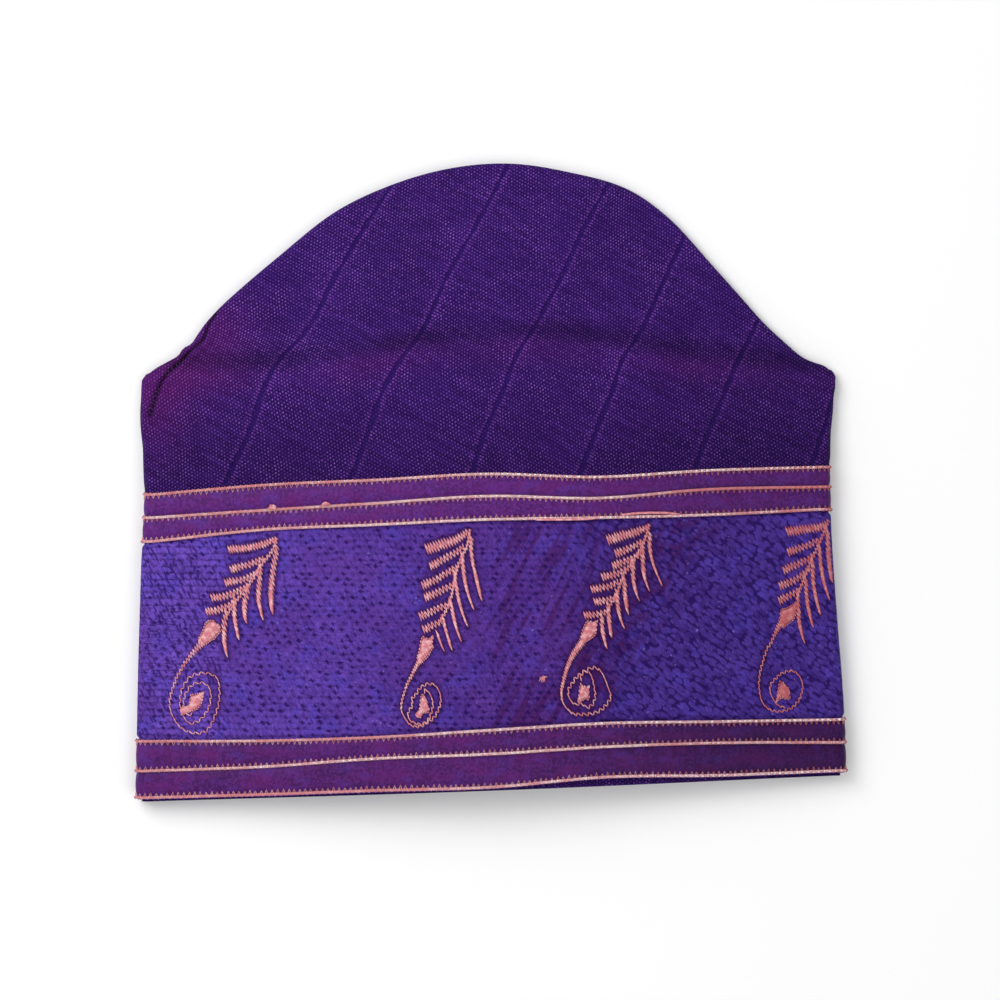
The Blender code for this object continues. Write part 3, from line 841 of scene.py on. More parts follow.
def crown_finish(settings):
    """Dark hand-woven cloth with staggered bright threads and sunk stripes."""
    finish = Finish("woven_cloth", Specular_IOR_Level=0.05)
    places = finish.places()
    chart, across, along = finish.weave()
    wobble = finish.noise(places, 240.0, 1.0) - 0.5
    warp = (across + wobble * 0.0008) / settings.warp_pitch
    weft = (along + wobble * 0.0005) / (2.0 * settings.weft_pitch)
    dots = (warp + weft).wave() * (warp - weft).wave()
    rows = (weft * 2.0).wave()
    ragged = finish.noise(places, 170.0, 3.0, 0.6) - 0.5
    stripe_distance = (across / settings.stripe_spacing).whole_distance() * settings.stripe_spacing
    stripe_distance = stripe_distance + ragged * 0.0022
    seen = finish.mark("stripes")
    groove = (1.0 - stripe_distance.ease(0.35 * settings.stripe_width, 0.85 * settings.stripe_width)) * seen
    flank = (1.0 - stripe_distance.ease(0.0012, 0.0034)) * (1.0 - groove) * seen
    glitter = finish.noise(places, 1150.0, 1.0, 0.6).ease(0.36, 0.64)
    cluster = finish.noise(places, 85.0, 3.0, 0.6).ease(0.25, 0.80)
    low = 1.0 - finish.split(places)[1].ease(0.015, 0.060)
    # Hatch lines of the weave, darkened as painted shade only on the low part of the crown
    hatch_and_painted_shade = finish.noise(finish.stretched(chart, (45.0, 700.0, 1.0)), 1.0, 2.0).ease(0.50, 0.62) * low
    streak = finish.noise(finish.stretched(chart, (60.0, 420.0, 1.0)), 1.0, 2.0).ease(0.35, 0.7)
    patch = finish.noise(places, 30.0, 3.0).ease(0.35, 0.7)
    # Painted sheen: magenta light on the ridge below the crease and at the left ear and shoulder
    blush = finish.mark("blush")
    ground = finish.blend(rows * 0.65 + streak * 0.35, settings.shade_colour, settings.cloth_colour)
    ground = finish.blend((patch * 0.35).most(hatch_and_painted_shade * 0.75), ground, settings.shade_colour)
    ground = finish.blend(blush * 0.75, ground, settings.painted_sheen_ground_colour)
    thread = finish.blend(glitter * cluster, settings.thread_colour, settings.glint_colour)
    thread = finish.blend(blush * 0.7, thread, settings.blush_colour)
    raised = glitter * (cluster * 0.30 + 0.50) + streak * 0.15 + 0.14
    lit = finish.blend(dots.ease(0.25, 0.90) * raised, ground, thread)
    ticks = finish.blend(flank * rows.ease(0.2, 0.9) * glitter * 0.6, lit, settings.tick_colour)
    sunk = finish.blend(groove * (cluster * 0.35 + 0.60), ticks, settings.stripe_colour)
    dimmed = finish.blend(finish.mark("shade"), sunk, (0.0, 0.0, 0.0))
    finish.paint(Base_Color=dimmed, Roughness=0.80 - dots * 0.2)
    finish.emboss(dots * 0.6 + rows * 0.4 - groove * 1.2 + flank * 0.4, 0.00022)
    return finish.material


def stitch_cells(finish, across, along, length, row, shift):
    """Return where a place lies in its stitch, from its middle in metres, and the stitch's chances."""
    line = along / row
    number = line.sum("FLOOR")
    place = across / length - number * shift
    column = place.sum("FLOOR")
    cell = finish.join(column, number)
    chances = finish.node("ShaderNodeTexWhiteNoise", {"noise_dimensions": "2D"}, {"Vector": cell}, 1)
    return (place - column - 0.5) * length, (line - number - 0.5) * row, finish.split(chances)


def pitted_stitch(finish, across, along, length, row):
    """Return staggered needle pits, each with a short gap beside it."""
    side, up, (first, second, third) = stitch_cells(finish, across, along, length, row, NEEDLE_STAGGER)
    side = side + (first - 0.5) * (0.5 * length)
    up = up + (second - 0.5) * (0.5 * row)
    side = side + up * 0.35
    pit = 1.0 - (side * side + up * up * 0.6).sum("SQRT").ease(0.00030, 0.00100)
    gap = (1.0 - up.size().ease(0.00008, 0.00042)) * (1.0 - side.size().ease(0.0008, 0.0026))
    return pit.most(gap * 0.75) * (third * 0.55 + 0.45)


def slanted_stitch(finish, across, along, length, row):
    """Return steep gaps between stitches, with broken lines and knots where rows meet."""
    side, up, (first, second, third) = stitch_cells(finish, across + along * 0.46, along, length, row, 0.37)
    off_side = (side + (first - 0.5) * (0.7 * length)).size()
    stroke = (1.0 - off_side.ease(0.00008, 0.00072)) * third.ease(0.00, 0.80)
    to_row = 0.5 * row - up.size()
    rung = (1.0 - to_row.ease(0.00005, 0.00050)) * second.ease(0.10, 0.90)
    to_corner = 0.5 * length - side.size()
    knot = (1.0 - (to_row * to_row + to_corner * to_corner).sum("SQRT").ease(0.00025, 0.00085)) * first
    return (stroke * 0.8).most(rung * 0.7).most(knot)


def band_finish(settings):
    """Dense fill stitch: slanting at the left, pitted in the middle, short bright dashes at right, with
    painted light at the left fading to painted shade at the right and a painted shadow round the feathers.
    """
    finish = Finish("fill_stitch", Specular_IOR_Level=0.06)
    places = finish.places()
    _, flat_across, flat_along = finish.weave()
    warp_across, warp_along, _ = finish.split(finish.noise(places, 330.0, 2.0, 0.6, output=1))
    across = flat_across + (warp_across - 0.5) * 0.0020
    along = flat_along + (warp_along - 0.5) * 0.0016
    mottle = finish.noise(places, 75.0, 3.0, 0.6)
    # The left and right zones set the stitch pattern and also carry painted light at the left and painted
    # shade at the right
    left = (finish.mark("left") + mottle - 0.5).ease(0.2, 0.8)
    right = (finish.mark("fade") + mottle * 0.8 - 0.4).ease(0.2, 0.8)
    dotted = pitted_stitch(finish, across, along, settings.stitch_length, settings.row_pitch)
    slanted = slanted_stitch(finish, across, along, 0.0030, 0.0026)
    cells = finish.turned(across, along, math.radians(-36.0), 0.0032, 0.0016)
    sockets = {"Vector": cells, "Scale": 1.0, "Randomness": 0.85}
    voronoi = finish.node("ShaderNodeTexVoronoi", {"voronoi_dimensions": "2D"}, sockets)
    dash_tint = finish.split(Wire(finish, voronoi.socket.node.outputs[1]))[0]
    dashed = voronoi.ease(0.32, 0.78).most((1.0 - dash_tint).ease(0.50, 1.0) * 0.55)
    near = dotted.most(slanted * (left * 0.40 + 0.55))
    dark = near * (1.0 - right) + dashed * right
    slanting = finish.turned(flat_across, flat_along, math.radians(-64.0), 0.0040, 0.00042)
    fibres = finish.noise(slanting, 1.0, 2.0, 0.6)
    fine = finish.noise(places, 520.0, 2.0, 0.65)
    tone = (fibres * 0.45 + mottle * 0.25 + fine * 0.30).ease(0.36, 0.64)
    # Painted light at the left, painted shade from the middle to the right
    dusk = finish.mark("dusk")
    light = finish.blend(dusk, settings.stitch_colour, settings.dusk_colour)
    light = finish.blend(left, light, settings.left_painted_light_colour)
    light = finish.blend(right, light, settings.far_painted_shade_colour)
    cloth = finish.blend(tone * 0.62 + 0.38, settings.pit_colour, light)
    blue = finish.noise(places, 110.0, 2.0, 0.6).ease(0.50, 0.66)
    cloth = finish.blend(blue * (1.0 - dusk * 0.4) * 0.5, cloth, settings.blue_colour)
    warm = (1.0 - finish.noise(places, 48.0, 2.0)).ease(0.50, 0.64)
    cloth = finish.blend(warm * (1.0 - right) * 0.45, cloth, settings.warm_colour)
    off_middle = (finish.split(places)[0] - 0.022).size()
    streaks = finish.turned(flat_across, flat_along, math.radians(62.0), 0.030, 0.0032)
    rubbed = finish.noise(streaks, 1.0).ease(0.50, 0.62) * (1.0 - off_middle.ease(0.014, 0.036))
    cloth = finish.blend(rubbed * 0.6, cloth, settings.patch_colour)
    cloth = finish.blend(finish.mark("patch") * (1.0 - tone * 0.5), cloth, settings.patch_colour)
    # Pits and gaps between stitches: dark base cloth and painted shade in these hollows
    pitted = finish.blend(dark.ease(0.05, 0.95) * 0.88, cloth, settings.pit_colour)
    glint = finish.noise(places, 760.0, 1.0).ease(0.70, 0.84)
    pitted = finish.blend(glint * 0.35, pitted, settings.gleam_colour)
    shaded = finish.blend(finish.mark("shadow") * 0.80, pitted, settings.shadow_colour)
    finish.paint(Base_Color=shaded, Roughness=0.75 - tone * 0.15)
    finish.emboss(tone * 0.5 - dark, 0.00045)
    return finish.material


def ribbon_finish(name, colour, far_painted_shade, settings):
    """Satin with fine upright threads, warm patches and blue gleams along the stitches, and painted shade
    towards the right and along its edges.
    """
    finish = Finish(name, Specular_IOR_Level=0.06)
    places = finish.places()
    chart, _, _ = finish.weave()
    threads = finish.noise(finish.stretched(chart, (2300.0, 60.0, 1.0)), 1.0, 2.0)
    folds = finish.noise(finish.stretched(chart, (300.0, 90.0, 1.0)), 1.0, 2.0)
    warm = finish.noise(finish.stretched(chart, (60.0, 160.0, 1.0)), 1.0, 3.0, 0.6).ease(0.42, 0.66)
    cool = finish.noise(finish.stretched(chart, (75.0, 130.0, 1.0)), 1.3, 2.0, 0.6).ease(0.50, 0.68)
    specks = finish.noise(places, 900.0, 2.0, 0.7).ease(0.40, 0.62)
    edge = finish.mark("edge")
    tone = threads * 0.35 + folds * 0.35 + specks * 0.30
    satin = finish.blend(tone.ease(0.3, 0.7), tuple(0.55 * part for part in colour), colour)
    satin = finish.blend(warm * 0.50, satin, settings.warm_colour)
    gleam = (edge * folds.ease(0.45, 0.75)).most(cool * 0.5)
    satin = finish.blend(gleam * 0.55, satin, settings.gleam_colour)
    # Painted shade towards the right and along the edges that dip under the braids
    far = finish.split(places)[0].ease(-0.02, 0.12)
    satin = finish.blend(far * far_painted_shade + edge * 0.18, satin, (0.004, 0.001, 0.010))
    finish.paint(Base_Color=satin, Roughness=0.55 - tone * 0.18)
    finish.emboss(threads * 0.6 + folds * 0.4, 0.00012, 0.7)
    return finish.material


def braid_finish(settings):
    """Twisted metallic cord with white painted glints on pink, that turns to copper along its length, and
    painted shade on its sides.
    """
    finish = Finish("metallic_cord", Metallic=0.10, Roughness=0.34, Specular_IOR_Level=0.4)
    places = finish.places()
    silver = finish.mark("silver")
    patches = finish.noise(places, 120.0, 2.0)
    share = (silver * 1.4 + patches * 0.9 - 0.58).ease(0.15, 0.75)
    # Painted glints on the tops of the strands and painted shade on their sides, chosen by the way they face
    facing = finish.split(finish.node("ShaderNodeTexCoord", output=1))[2].size().ease(0.30, 0.75)
    painted_glints = finish.noise(places, 1100.0, 1.0, 0.5).ease(0.40, 0.52)
    colour = finish.blend(share, settings.copper_colour, settings.silver_colour)
    colour = finish.blend(share * painted_glints * facing, colour, settings.painted_glint_colour)
    colour = finish.blend((1.0 - facing) * 0.55, colour, settings.far_copper_colour)
    finish.paint(Base_Color=colour)
    finish.emboss(finish.noise(places, 2600.0, 1.0), 0.0001, 0.5)
    return finish.material


def copper_finish(name, settings):
    """Copper embroidery thread, with painted shade where it dips and painted glints where it shines, redder
    to the right.
    """
    finish = Finish(name, Metallic=0.05, Specular_IOR_Level=0.30)
    places = finish.places()
    red = finish.split(places)[0].ease(0.0, 0.13)
    gloss = finish.noise(places, 620.0, 2.0, 0.6).ease(0.42, 0.66)
    tone = finish.noise(places, 70.0, 2.0)
    pale = tuple(settings.copper_colour)
    copper = finish.blend(tone, tuple(0.80 * part for part in pale), pale)
    copper = finish.blend(red * 0.85, copper, tuple(settings.far_copper_colour))
    copper = finish.blend(gloss * (1.0 - red * 0.6) * 0.5, copper, tuple(settings.glint_colour))
    # Painted shade where the thread dips into the cloth
    raised = finish.mark("raised").ease(0.10, 0.80)
    copper = finish.blend((1.0 - raised) * 0.80, copper, tuple(settings.dip_painted_shade_colour))
    finish.paint(Base_Color=copper, Roughness=0.55 - gloss * 0.2)
    finish.emboss(finish.noise(places, 3000.0, 1.0), 0.00008, 0.5)
    return finish.material


def plain_finish(name, colour, roughness):
    finish = Finish(name, Roughness=roughness)
    places = finish.places()
    tone = finish.noise(places, 900.0, 2.0)
    finish.paint(Base_Color=finish.blend(tone, tuple(0.7 * part for part in colour), colour))
    return finish.material


def floor_finish(colour):
    finish = Finish("pale_floor", Roughness=0.9)
    places = finish.places()
    tone = finish.noise(places, 3.0, 2.0)
    finish.paint(Base_Color=finish.blend(tone, tuple(0.985 * part for part in colour), colour))
    return finish.material


def set_apart():
    for item in bpy.context.selected_objects:
        item.select_set(False)


def weld(threshold):
    """Merge the active mesh's coinciding vertices."""
    bpy.ops.object.mode_set(mode="EDIT")
    bpy.ops.mesh.select_all(action="SELECT")
    bpy.ops.mesh.remove_doubles(threshold=threshold)
    bpy.ops.object.mode_set(mode="OBJECT")


def vertex_places(mesh):
    """Return the mesh's vertices as rows of x, y and z."""
    places = np.empty(len(mesh.vertices) * 3, dtype=np.float32)
    mesh.vertices.foreach_get("co", places)
    return places.reshape(-1, 3)


def signed_volume(mesh):
    """Return six times the volume that the faces enclose, below 0 where they point inwards."""
    mesh.calc_loop_triangles()
    places = vertex_places(mesh).astype(float)
    corners = np.empty(len(mesh.loop_triangles) * 3, dtype=np.int64)
    mesh.loop_triangles.foreach_get("vertices", corners)
    first, second, third = places[corners.reshape(-1, 3)].transpose(1, 0, 2)
    return float(np.einsum("ij,ij->", first, np.cross(second, third)))


def carry(mesh, name, values):
    """Give the mesh a value at each vertex, for its finish."""
    mark = mesh.attributes.new(name, "FLOAT", "POINT")
    mark.data.foreach_set("value", np.asarray(values, np.float32).ravel())


def add_cloth(name, rows, chart, material, marks=None):
    """Shape a grid onto rows of points round the cap, sew it shut and give it its finish."""
    set_apart()
    row_count, column_count = rows.shape[:2]
    bpy.ops.mesh.primitive_grid_add(
        x_subdivisions=column_count - 1, y_subdivisions=row_count - 1, size=0.1
    )
    cloth = bpy.context.object
    cloth.name = name
    mesh = cloth.data
    mesh.name = name
    mesh.vertices.foreach_set("co", rows.reshape(-1).astype(np.float32))
    corners = np.empty(len(mesh.loops), dtype=np.int64)
    mesh.loops.foreach_get("vertex_index", corners)
    layer = mesh.uv_layers[0]
    layer.name = "cloth"
    layer.data.foreach_set("uv", chart.reshape(-1, 2)[corners].astype(np.float32).ravel())
    for mark, values in (marks or {}).items():
        carry(mesh, mark, values)
    mesh.update()
    weld(CLOTH_WELD)
    if signed_volume(mesh) < 0.0:
        mesh.flip_normals()
    mesh.materials.append(material)
    bpy.ops.object.shade_smooth_by_angle(angle=math.radians(60.0))
    return cloth


def add_threads(name, strands, diameter, material, looped=False, roundness=1):
    """Lay threads of one diameter along strands of points and make them one mesh."""
    set_apart()
    bpy.ops.object.add(type="CURVE")
    threads = bpy.context.object
    threads.name = name
    curve = threads.data
    curve.name = name
    curve.dimensions = "3D"
    curve.bevel_depth = 0.5 * diameter
    curve.bevel_resolution = roundness
    curve.use_fill_caps = not looped
    for strand in strands:
        spline = curve.splines.new("POLY")
        spline.points.add(len(strand) - 1)
        weighted = np.column_stack((strand, np.ones(len(strand))))
        spline.points.foreach_set("co", weighted.astype(np.float32).ravel())
        spline.use_cyclic_u = looped
    bpy.ops.object.convert(target="MESH")
    threads = bpy.context.object
    if not looped:
        weld(THREAD_WELD)
    mesh = threads.data
    places = vertex_places(mesh)
    places[:, 2] = np.maximum(places[:, 2], FLOOR_GAP)
    mesh.vertices.foreach_set("co", places.ravel())
    mesh.materials.clear()
    mesh.materials.append(material)
    bpy.ops.object.shade_smooth()
    return threads


def dress(piece, slot, *nodes):
    """Tie a finished piece to the frame."""
    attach(piece, BODY)
    if nodes:
        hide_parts(*nodes)


def closed_rows(outer, inner):
    """Return rows that go up the outside and back down the inside to where they start."""
    return np.concatenate((outer, inner[::-1], outer[:1]))


def even_shares(count):
    """Return even shares from 0 up, a row each, without the 1 that the next rows start with."""
    return np.linspace(0.0, 1.0, count + 1)[:-1, None]


def build_crown(settings):
    ring = ring_of(settings.columns, 8)
    across = ring.across
    front = front_share(ring)
    rim = skew(across)
    flare_low = line_height("braid_1", ring, -BAND_TOP_DROP)
    flare_high = line_height("braid_1", ring, FLARE_RISE)
    steepness = dome_steepness(across)
    seam = seam_height(ring)
    rolled = seam - SEAM_ROUNDING * steepness
    low_shares = even_shares(UNDER_ROWS)
    open_shares = np.linspace(0.0, 1.0, settings.rows)[:, None]
    roll_shares = np.array(SEAM_ROLL)[:, None]
    height = np.concatenate(
        (
            mix(rim, flare_low, low_shares),
            mix(flare_low, flare_high, low_shares),
            mix(flare_high, rolled, open_shares),
            seam - SEAM_ROUNDING * steepness * roll_shares,
        )
    )
    distance = (seam - height) / steepness
    above_band = smooth_step((height - flare_low) / (flare_high - flare_low))
    tucked = 0.0005 * bell(height - flare_high, 0.003)
    depth = CROWN_DEPTH * (1.0 - above_band) + tucked * above_band
    plain = tube_point(ring, height, depth, distance, above_band)
    x, y = plain[..., 0], plain[..., 1]
    number = stripe_number(x * scale_at(plain[..., 2]), y)
    seen = smooth_step((number - 0.4) / 0.2)
    spacing = settings.stripe_spacing
    stripe_distance = np.abs(number - np.round(number)) * spacing
    seam_line = path_distance(x, y, SIDE_SEAM)
    from_crease = height - crease_height(across)
    crease_wave = 1.0 + 0.5 * drift(x, 0.0 * y, 0.06, 3)
    stripe_wave = seen * (1.0 + 0.5 * drift(x, y, 0.012, 8))
    relief = 0.00050 * drift(x, y, 0.055, 5) + 0.00016 * drift(x, y, 0.017, 6)
    relief -= settings.stripe_depth * stripe_wave * bell(stripe_distance, 0.5 * settings.stripe_width)
    relief += 0.4 * settings.stripe_depth * stripe_wave * bell(stripe_distance - 0.0021, 0.0012)
    relief -= settings.crease_depth * crease_wave * bell(from_crease + 0.001, 0.0034)
    relief += 0.6 * settings.crease_depth * crease_wave * bell(from_crease + 0.0085, 0.0036)
    relief -= 0.0009 * bell(seam_line, 0.0010) - 0.0006 * bell(seam_line - 0.0022, 0.0012)
    relief += 0.00022 * np.sin(number * 37.0) * bell(distance, 0.007)
    relief *= front * smooth_step(distance / 0.006) * smooth_step((height - flare_high) / 0.003)
    outer = tube_point(ring, height, depth - relief, distance, above_band)
    last = len(height) - len(SEAM_ROLL) - 2
    kept = np.unique([*range(0, last, INNER_STEP), UNDER_ROWS, 2 * UNDER_ROWS, last])
    inner_height = height[kept]
    inner_depth = depth[kept] + CLOTH_THICKNESS - relief[kept]
    inner = tube_point(ring, inner_height, inner_depth, distance[kept], above_band[kept])
    tip_distance = np.full_like(seam, 0.8 * SEAM_ROUNDING)
    tip = tube_point(ring, seam - tip_distance * steepness, CLOTH_THICKNESS, tip_distance, 1.0)
    rows = np.concatenate((outer[::-1], inner, facing_mean(tip)[None]))
    flat_x = unrolled(ring, rows)
    chart = np.stack(
        (
            stripe_number(flat_x * scale_at(rows[..., 2]), rows[..., 1]) * spacing,
            flat_x * math.sin(STRIPE_LEAN) + rows[..., 1] * math.cos(STRIPE_LEAN),
        ),
        axis=-1,
    )
    # Painted sheen in magenta at the left ear, on the ridge below the crease and at the left shoulder
    ear = bell(x + 0.135, 0.014) * bell(y - 0.040, 0.024)
    glow = 0.5 * bell(from_crease + 0.0085, 0.0060) * np.clip(0.45 + 0.4 * drift(x, y, 0.05, 9), 0.0, 1.0)
    shoulder = bell(x + 0.113, 0.016) * bell(y - 0.058, 0.016) * 0.7
    blush = np.clip(ear + glow + shoulder, 0.0, 1.0) * front
    low = 1.0 - smooth_step((y - 0.002) / 0.045)
    shade = np.clip(0.24 * low + 0.30 * bell(from_crease + 0.001, 0.0042) * crease_wave, 0.0, 0.7)
    right_shade = 0.16 * smooth_step((x - 0.02) / 0.10)
    dome_light = 0.14 * smooth_step((y - 0.06) / 0.06)
    shade = np.clip(shade + right_shade - dome_light, 0.0, 0.8)
    shade = np.clip(shade + 0.85 * bell(seam_line, 0.0007) * front, 0.0, 0.9)
    marks = {}
    for name, values in {"blush": blush, "shade": shade, "stripes": seen}.items():
        marks[name] = np.concatenate((values[::-1], values[kept], 0.0 * values[:1]))
    crown = add_cloth("crown_cloth", rows, chart, crown_finish(settings), marks)
    dress(crown, "aso_oke_cloth", "crown")


def facing_mean(row):
    """Return a row of points halfway between the front and the back."""
    return 0.5 * (row + row[::-1])


def build_side_seam(settings):
    """Short dark stitches across the seam at the left ear."""
    material = plain_finish("seam_thread", (0.020, 0.004, 0.045), 0.7)
    random = np.random.default_rng(41)
    strands = []
    for start, end in zip(SIDE_SEAM[1:-1], SIDE_SEAM[2:]):
        run = math.hypot(end.x - start.x, end.y - start.y)
        count = max(int(run / 0.0016), 1)
        for step in range(count):
            share = (step + random.uniform(0.3, 0.7)) / count
            x, y = mix(start.x, end.x, share), mix(start.y, end.y, share)
            out_x, out_y = (end.y - start.y) / run, (start.x - end.x) / run
            reach = random.uniform(0.0009, 0.0014)
            ends = np.array([-1.0, -0.5, 0.5, 1.0])
            lifts = np.array([0.0010, 0.0003, 0.0003, 0.0010])
            xs = x + ends * reach * out_x + 0.0004 * ends * out_y
            ys = y + ends * reach * out_y - 0.0004 * ends * out_x
            strands.append(on_crown(xs, ys, lifts))
    stitches = add_threads("side_seam_stitches", strands, 0.0005, material)
    dress(stitches, "aso_oke_cloth")


def on_crown(x, y, depth):
    """Return points of the crown's front at places seen from above."""
    height = y + MIDDLE_HEIGHT
    ring = front_ring(x, height, FOLD_RADIUS, 0.9)
    distance = (dome_height(ring.across) - height) / dome_steepness(ring.across)
    placed = tube_point(ring, height, depth, np.maximum(distance, 0.0), 1.0)
    placed[..., 0] = x
    return placed


def needle_pits(x, y, settings, seed):
    """Return how deep each place lies in the nearest needle pit of the staggered fill stitch."""
    random = np.random.default_rng(seed)
    size = 64
    shift_x = random.uniform(-0.16, 0.16, (size, size))
    shift_y = random.uniform(-0.18, 0.18, (size, size))
    strength = random.uniform(0.35, 1.0, (size, size))
    lean = random.uniform(0.15, 0.75, (size, size))
    number_y = y / settings.row_pitch
    number_x = x / settings.stitch_length
    deepest = np.zeros_like(x)
    for step_y in (-1, 0, 1):
        row = np.floor(number_y) + step_y
        for step_x in (-1, 0, 1):
            column = np.floor(number_x) + step_x
            pick = (row.astype(int) % size, column.astype(int) % size)
            centre_y = (row + 0.5 + shift_y[pick]) * settings.row_pitch
            centre_x = (column + 0.5 + shift_x[pick] + NEEDLE_STAGGER * (row % 2.0)) * settings.stitch_length
            along = y - centre_y
            side = x - centre_x + lean[pick] * along
            here = strength[pick] * bell(side, PIT_WIDTH) * bell(along, PIT_HEIGHT)
            deepest = np.maximum(deepest, here)
    return deepest


def sewn_shadow(points):
    """Return how close each point lies to the stitches of the feathers, 1 right under them, for the painted
    shadow round them.
    """
    settings = bpy.context.scene.cap_feathers
    spots = []
    for number, feather in enumerate(FEATHERS, start=1):
        random = np.random.default_rng(100 + number)
        spots += [on_panel(places) for places, _ in feather_threads(feather, settings, random)]
        spots.append(on_panel(stem_thread(feather, settings, random)[0]))
    spots = np.concatenate(spots)
    tree = KDTree(len(spots))
    for index, (x, y) in enumerate(spots):
        tree.insert((x, y, 0.0), index)
    tree.balance()
    shadow = np.zeros(points.shape[:-1])
    for place in zip(*np.nonzero(points[..., 2] > 0.5 * PANEL_LEVEL)):
        x, y = points[place][:2]
        shadow[place] = bell(tree.find((x, y, 0.0))[2], SHADOW_WIDTH)
    return shadow


def build_band(settings):
    ring = ring_of(settings.columns, 8)
    across = ring.across
    clearance = 0.5 * BRAID_WIDTH + EDGE_GAP
    low_edge = line_height("braid_4", ring, clearance)
    high_edge = line_height("braid_3", ring, -clearance)
    panel_low = low_edge + PANEL_EDGE_WIDTH
    panel_high = high_edge - PANEL_EDGE_WIDTH
    foot = line_height("braid_6", ring, -0.5 * BRAID_WIDTH)
    top = line_height("braid_1", ring, -BAND_TOP_DROP)
    edge = even_shares(EDGE_ROWS)
    panel = np.linspace(0.0, 1.0, settings.rows)[:, None]
    height = np.concatenate(
        (
            mix(foot, low_edge, edge),
            mix(low_edge, panel_low, edge),
            mix(panel_low, panel_high, panel),
            mix(panel_high, high_edge, edge[1:]),
            mix(high_edge, top, np.linspace(0.0, 1.0, EDGE_ROWS + 1)[:, None]),
        )
    )
    inside = np.minimum((height - low_edge) / PANEL_EDGE_WIDTH, (high_edge - height) / PANEL_EDGE_WIDTH)
    swell = np.sin(0.5 * math.pi * np.clip(inside, 0.0, 1.0))
    base_depth = mix(BAND_DEPTH, PANEL_DEPTH, swell)
    plain = tube_point(ring, height, base_depth)
    flat_x = unrolled(ring, plain)
    y = plain[..., 1]
    pits = needle_pits(flat_x, y, settings, 11) * smooth_step(inside)
    lumps = 0.5 * drift(flat_x, y, 0.0055, 12) + 0.5 * drift(flat_x, y, 0.018, 13)
    relief = 0.35 * settings.stitch_relief * lumps - settings.stitch_relief * pits
    on_floor = front_share(ring)
    relief = relief * swell * mix(0.3, 1.0, on_floor)
    outer = tube_point(ring, height, base_depth - relief)
    last = len(height) - 1
    middle = 2 * EDGE_ROWS + settings.rows // 2
    kept = [0, EDGE_ROWS, 2 * EDGE_ROWS, middle, last - 2 * EDGE_ROWS, last - EDGE_ROWS, last]
    inner = tube_point(ring, height[kept], base_depth[kept] + BAND_THICKNESS)
    rows = closed_rows(outer, inner)
    chart = np.stack((unrolled(ring, rows), rows[..., 1]), axis=-1)
    # Zones of the stitch pattern, which also carry painted shade towards the right and painted light at the
    # left
    fade = smooth_step((flat_x + 0.002) / 0.075)
    dusk = smooth_step((flat_x + 0.120) / 0.150)
    shadow = sewn_shadow(plain) * on_floor
    slant = (flat_x - 0.045) * 0.83 - (y + 0.065) * 0.55
    worn = drift(slant * 1.9, (flat_x + y) * 0.45, 0.007, 14)
    patch = bell(slant, 0.015) * np.clip(0.5 + 1.1 * worn, 0.0, 1.0)
    slants_and_painted_light = 1.0 - smooth_step((flat_x + 0.124) / 0.034)
    marks = {}
    values_of = {"left": slants_and_painted_light, "fade": fade, "dusk": dusk, "shadow": shadow, "patch": patch * swell}
    for name, values in values_of.items():
        marks[name] = closed_rows(values, values[kept])
    band = add_cloth("embroidered_band", rows, chart, band_finish(settings), marks)
    dress(band, "embroidered_cloth", "band")


def build_ribbons(settings):
    ring = ring_of(settings.columns, 6)
    shares = np.linspace(0.0, 1.0, 9)[:, None]
    for index, ribbon in enumerate(RIBBONS):
        upper = ribbon.name.startswith("upper")
        colour = tuple(settings.upper_colour if upper else settings.lower_colour)
        material = ribbon_finish(ribbon.name + "_satin", colour, 0.25 if upper else 0.52, settings)
        low = line_height(ribbon.lower, ring, 0.35 * BRAID_WIDTH)
        high = line_height(ribbon.upper, ring, -0.35 * BRAID_WIDTH)
        height = mix(low, high, shares)
        plain = tube_point(ring, height, RIBBON_DEPTH)
        flat_x = unrolled(ring, plain)
        y = plain[..., 1]
        arch = np.sin(math.pi * shares) ** 0.6
        edge = 1.0 - np.sin(math.pi * shares) ** 0.8
        pucker = drift(flat_x, y * 0.25, settings.pucker_pitch, 21 + index)
        depth = RIBBON_DEPTH + RIBBON_DIP * (1.0 - arch)
        depth = depth - settings.pucker_depth * pucker * (0.35 + 0.65 * edge) * arch
        depth = np.maximum(depth, 0.00005)
        outer = tube_point(ring, height, depth)
        kept = [0, 4, 8]
        inner_depth = RIBBON_DEPTH + RIBBON_DIP + 0.5 * RIBBON_THICKNESS
        inner = tube_point(ring, height[kept], inner_depth + 0.0 * depth[kept])
        rows = closed_rows(outer, inner)
        chart = np.stack((unrolled(ring, rows), rows[..., 1]), axis=-1)
        marked = closed_rows(edge + 0.0 * depth, edge[kept] + 0.0 * depth[kept])
        piece = add_cloth(ribbon.name + "_cloth", rows, chart, material, {"edge": marked})
        dress(piece, "satin_ribbon", ribbon.name)


Route = namedtuple("Route", "points out up")
ROUTE_LENGTH = 2.0 * RIM_WIDTH


def trim_route(name, count):
    """Return even steps along a braid's middle line, with the directions out of and up the cap."""
    ring = ring_of(600, 16)
    height = line_height(name, ring)
    points = tube_point(ring, height, CORD_DEPTH)
    step = 0.001
    out = tube_point(ring, height, CORD_DEPTH - step) - points
    up = tube_point(ring, height + step, CORD_DEPTH) - points
    stops = travelled(points)
    places = np.arange(count) * stops[-1] / count

    def sampled(values):
        return np.column_stack([np.interp(places, stops, column) for column in values.T])

    out, up = sampled(out), sampled(up)
    out /= np.linalg.norm(out, axis=1)[:, None]
    up /= np.linalg.norm(up, axis=1)[:, None]
    return Route(sampled(points), out, up)


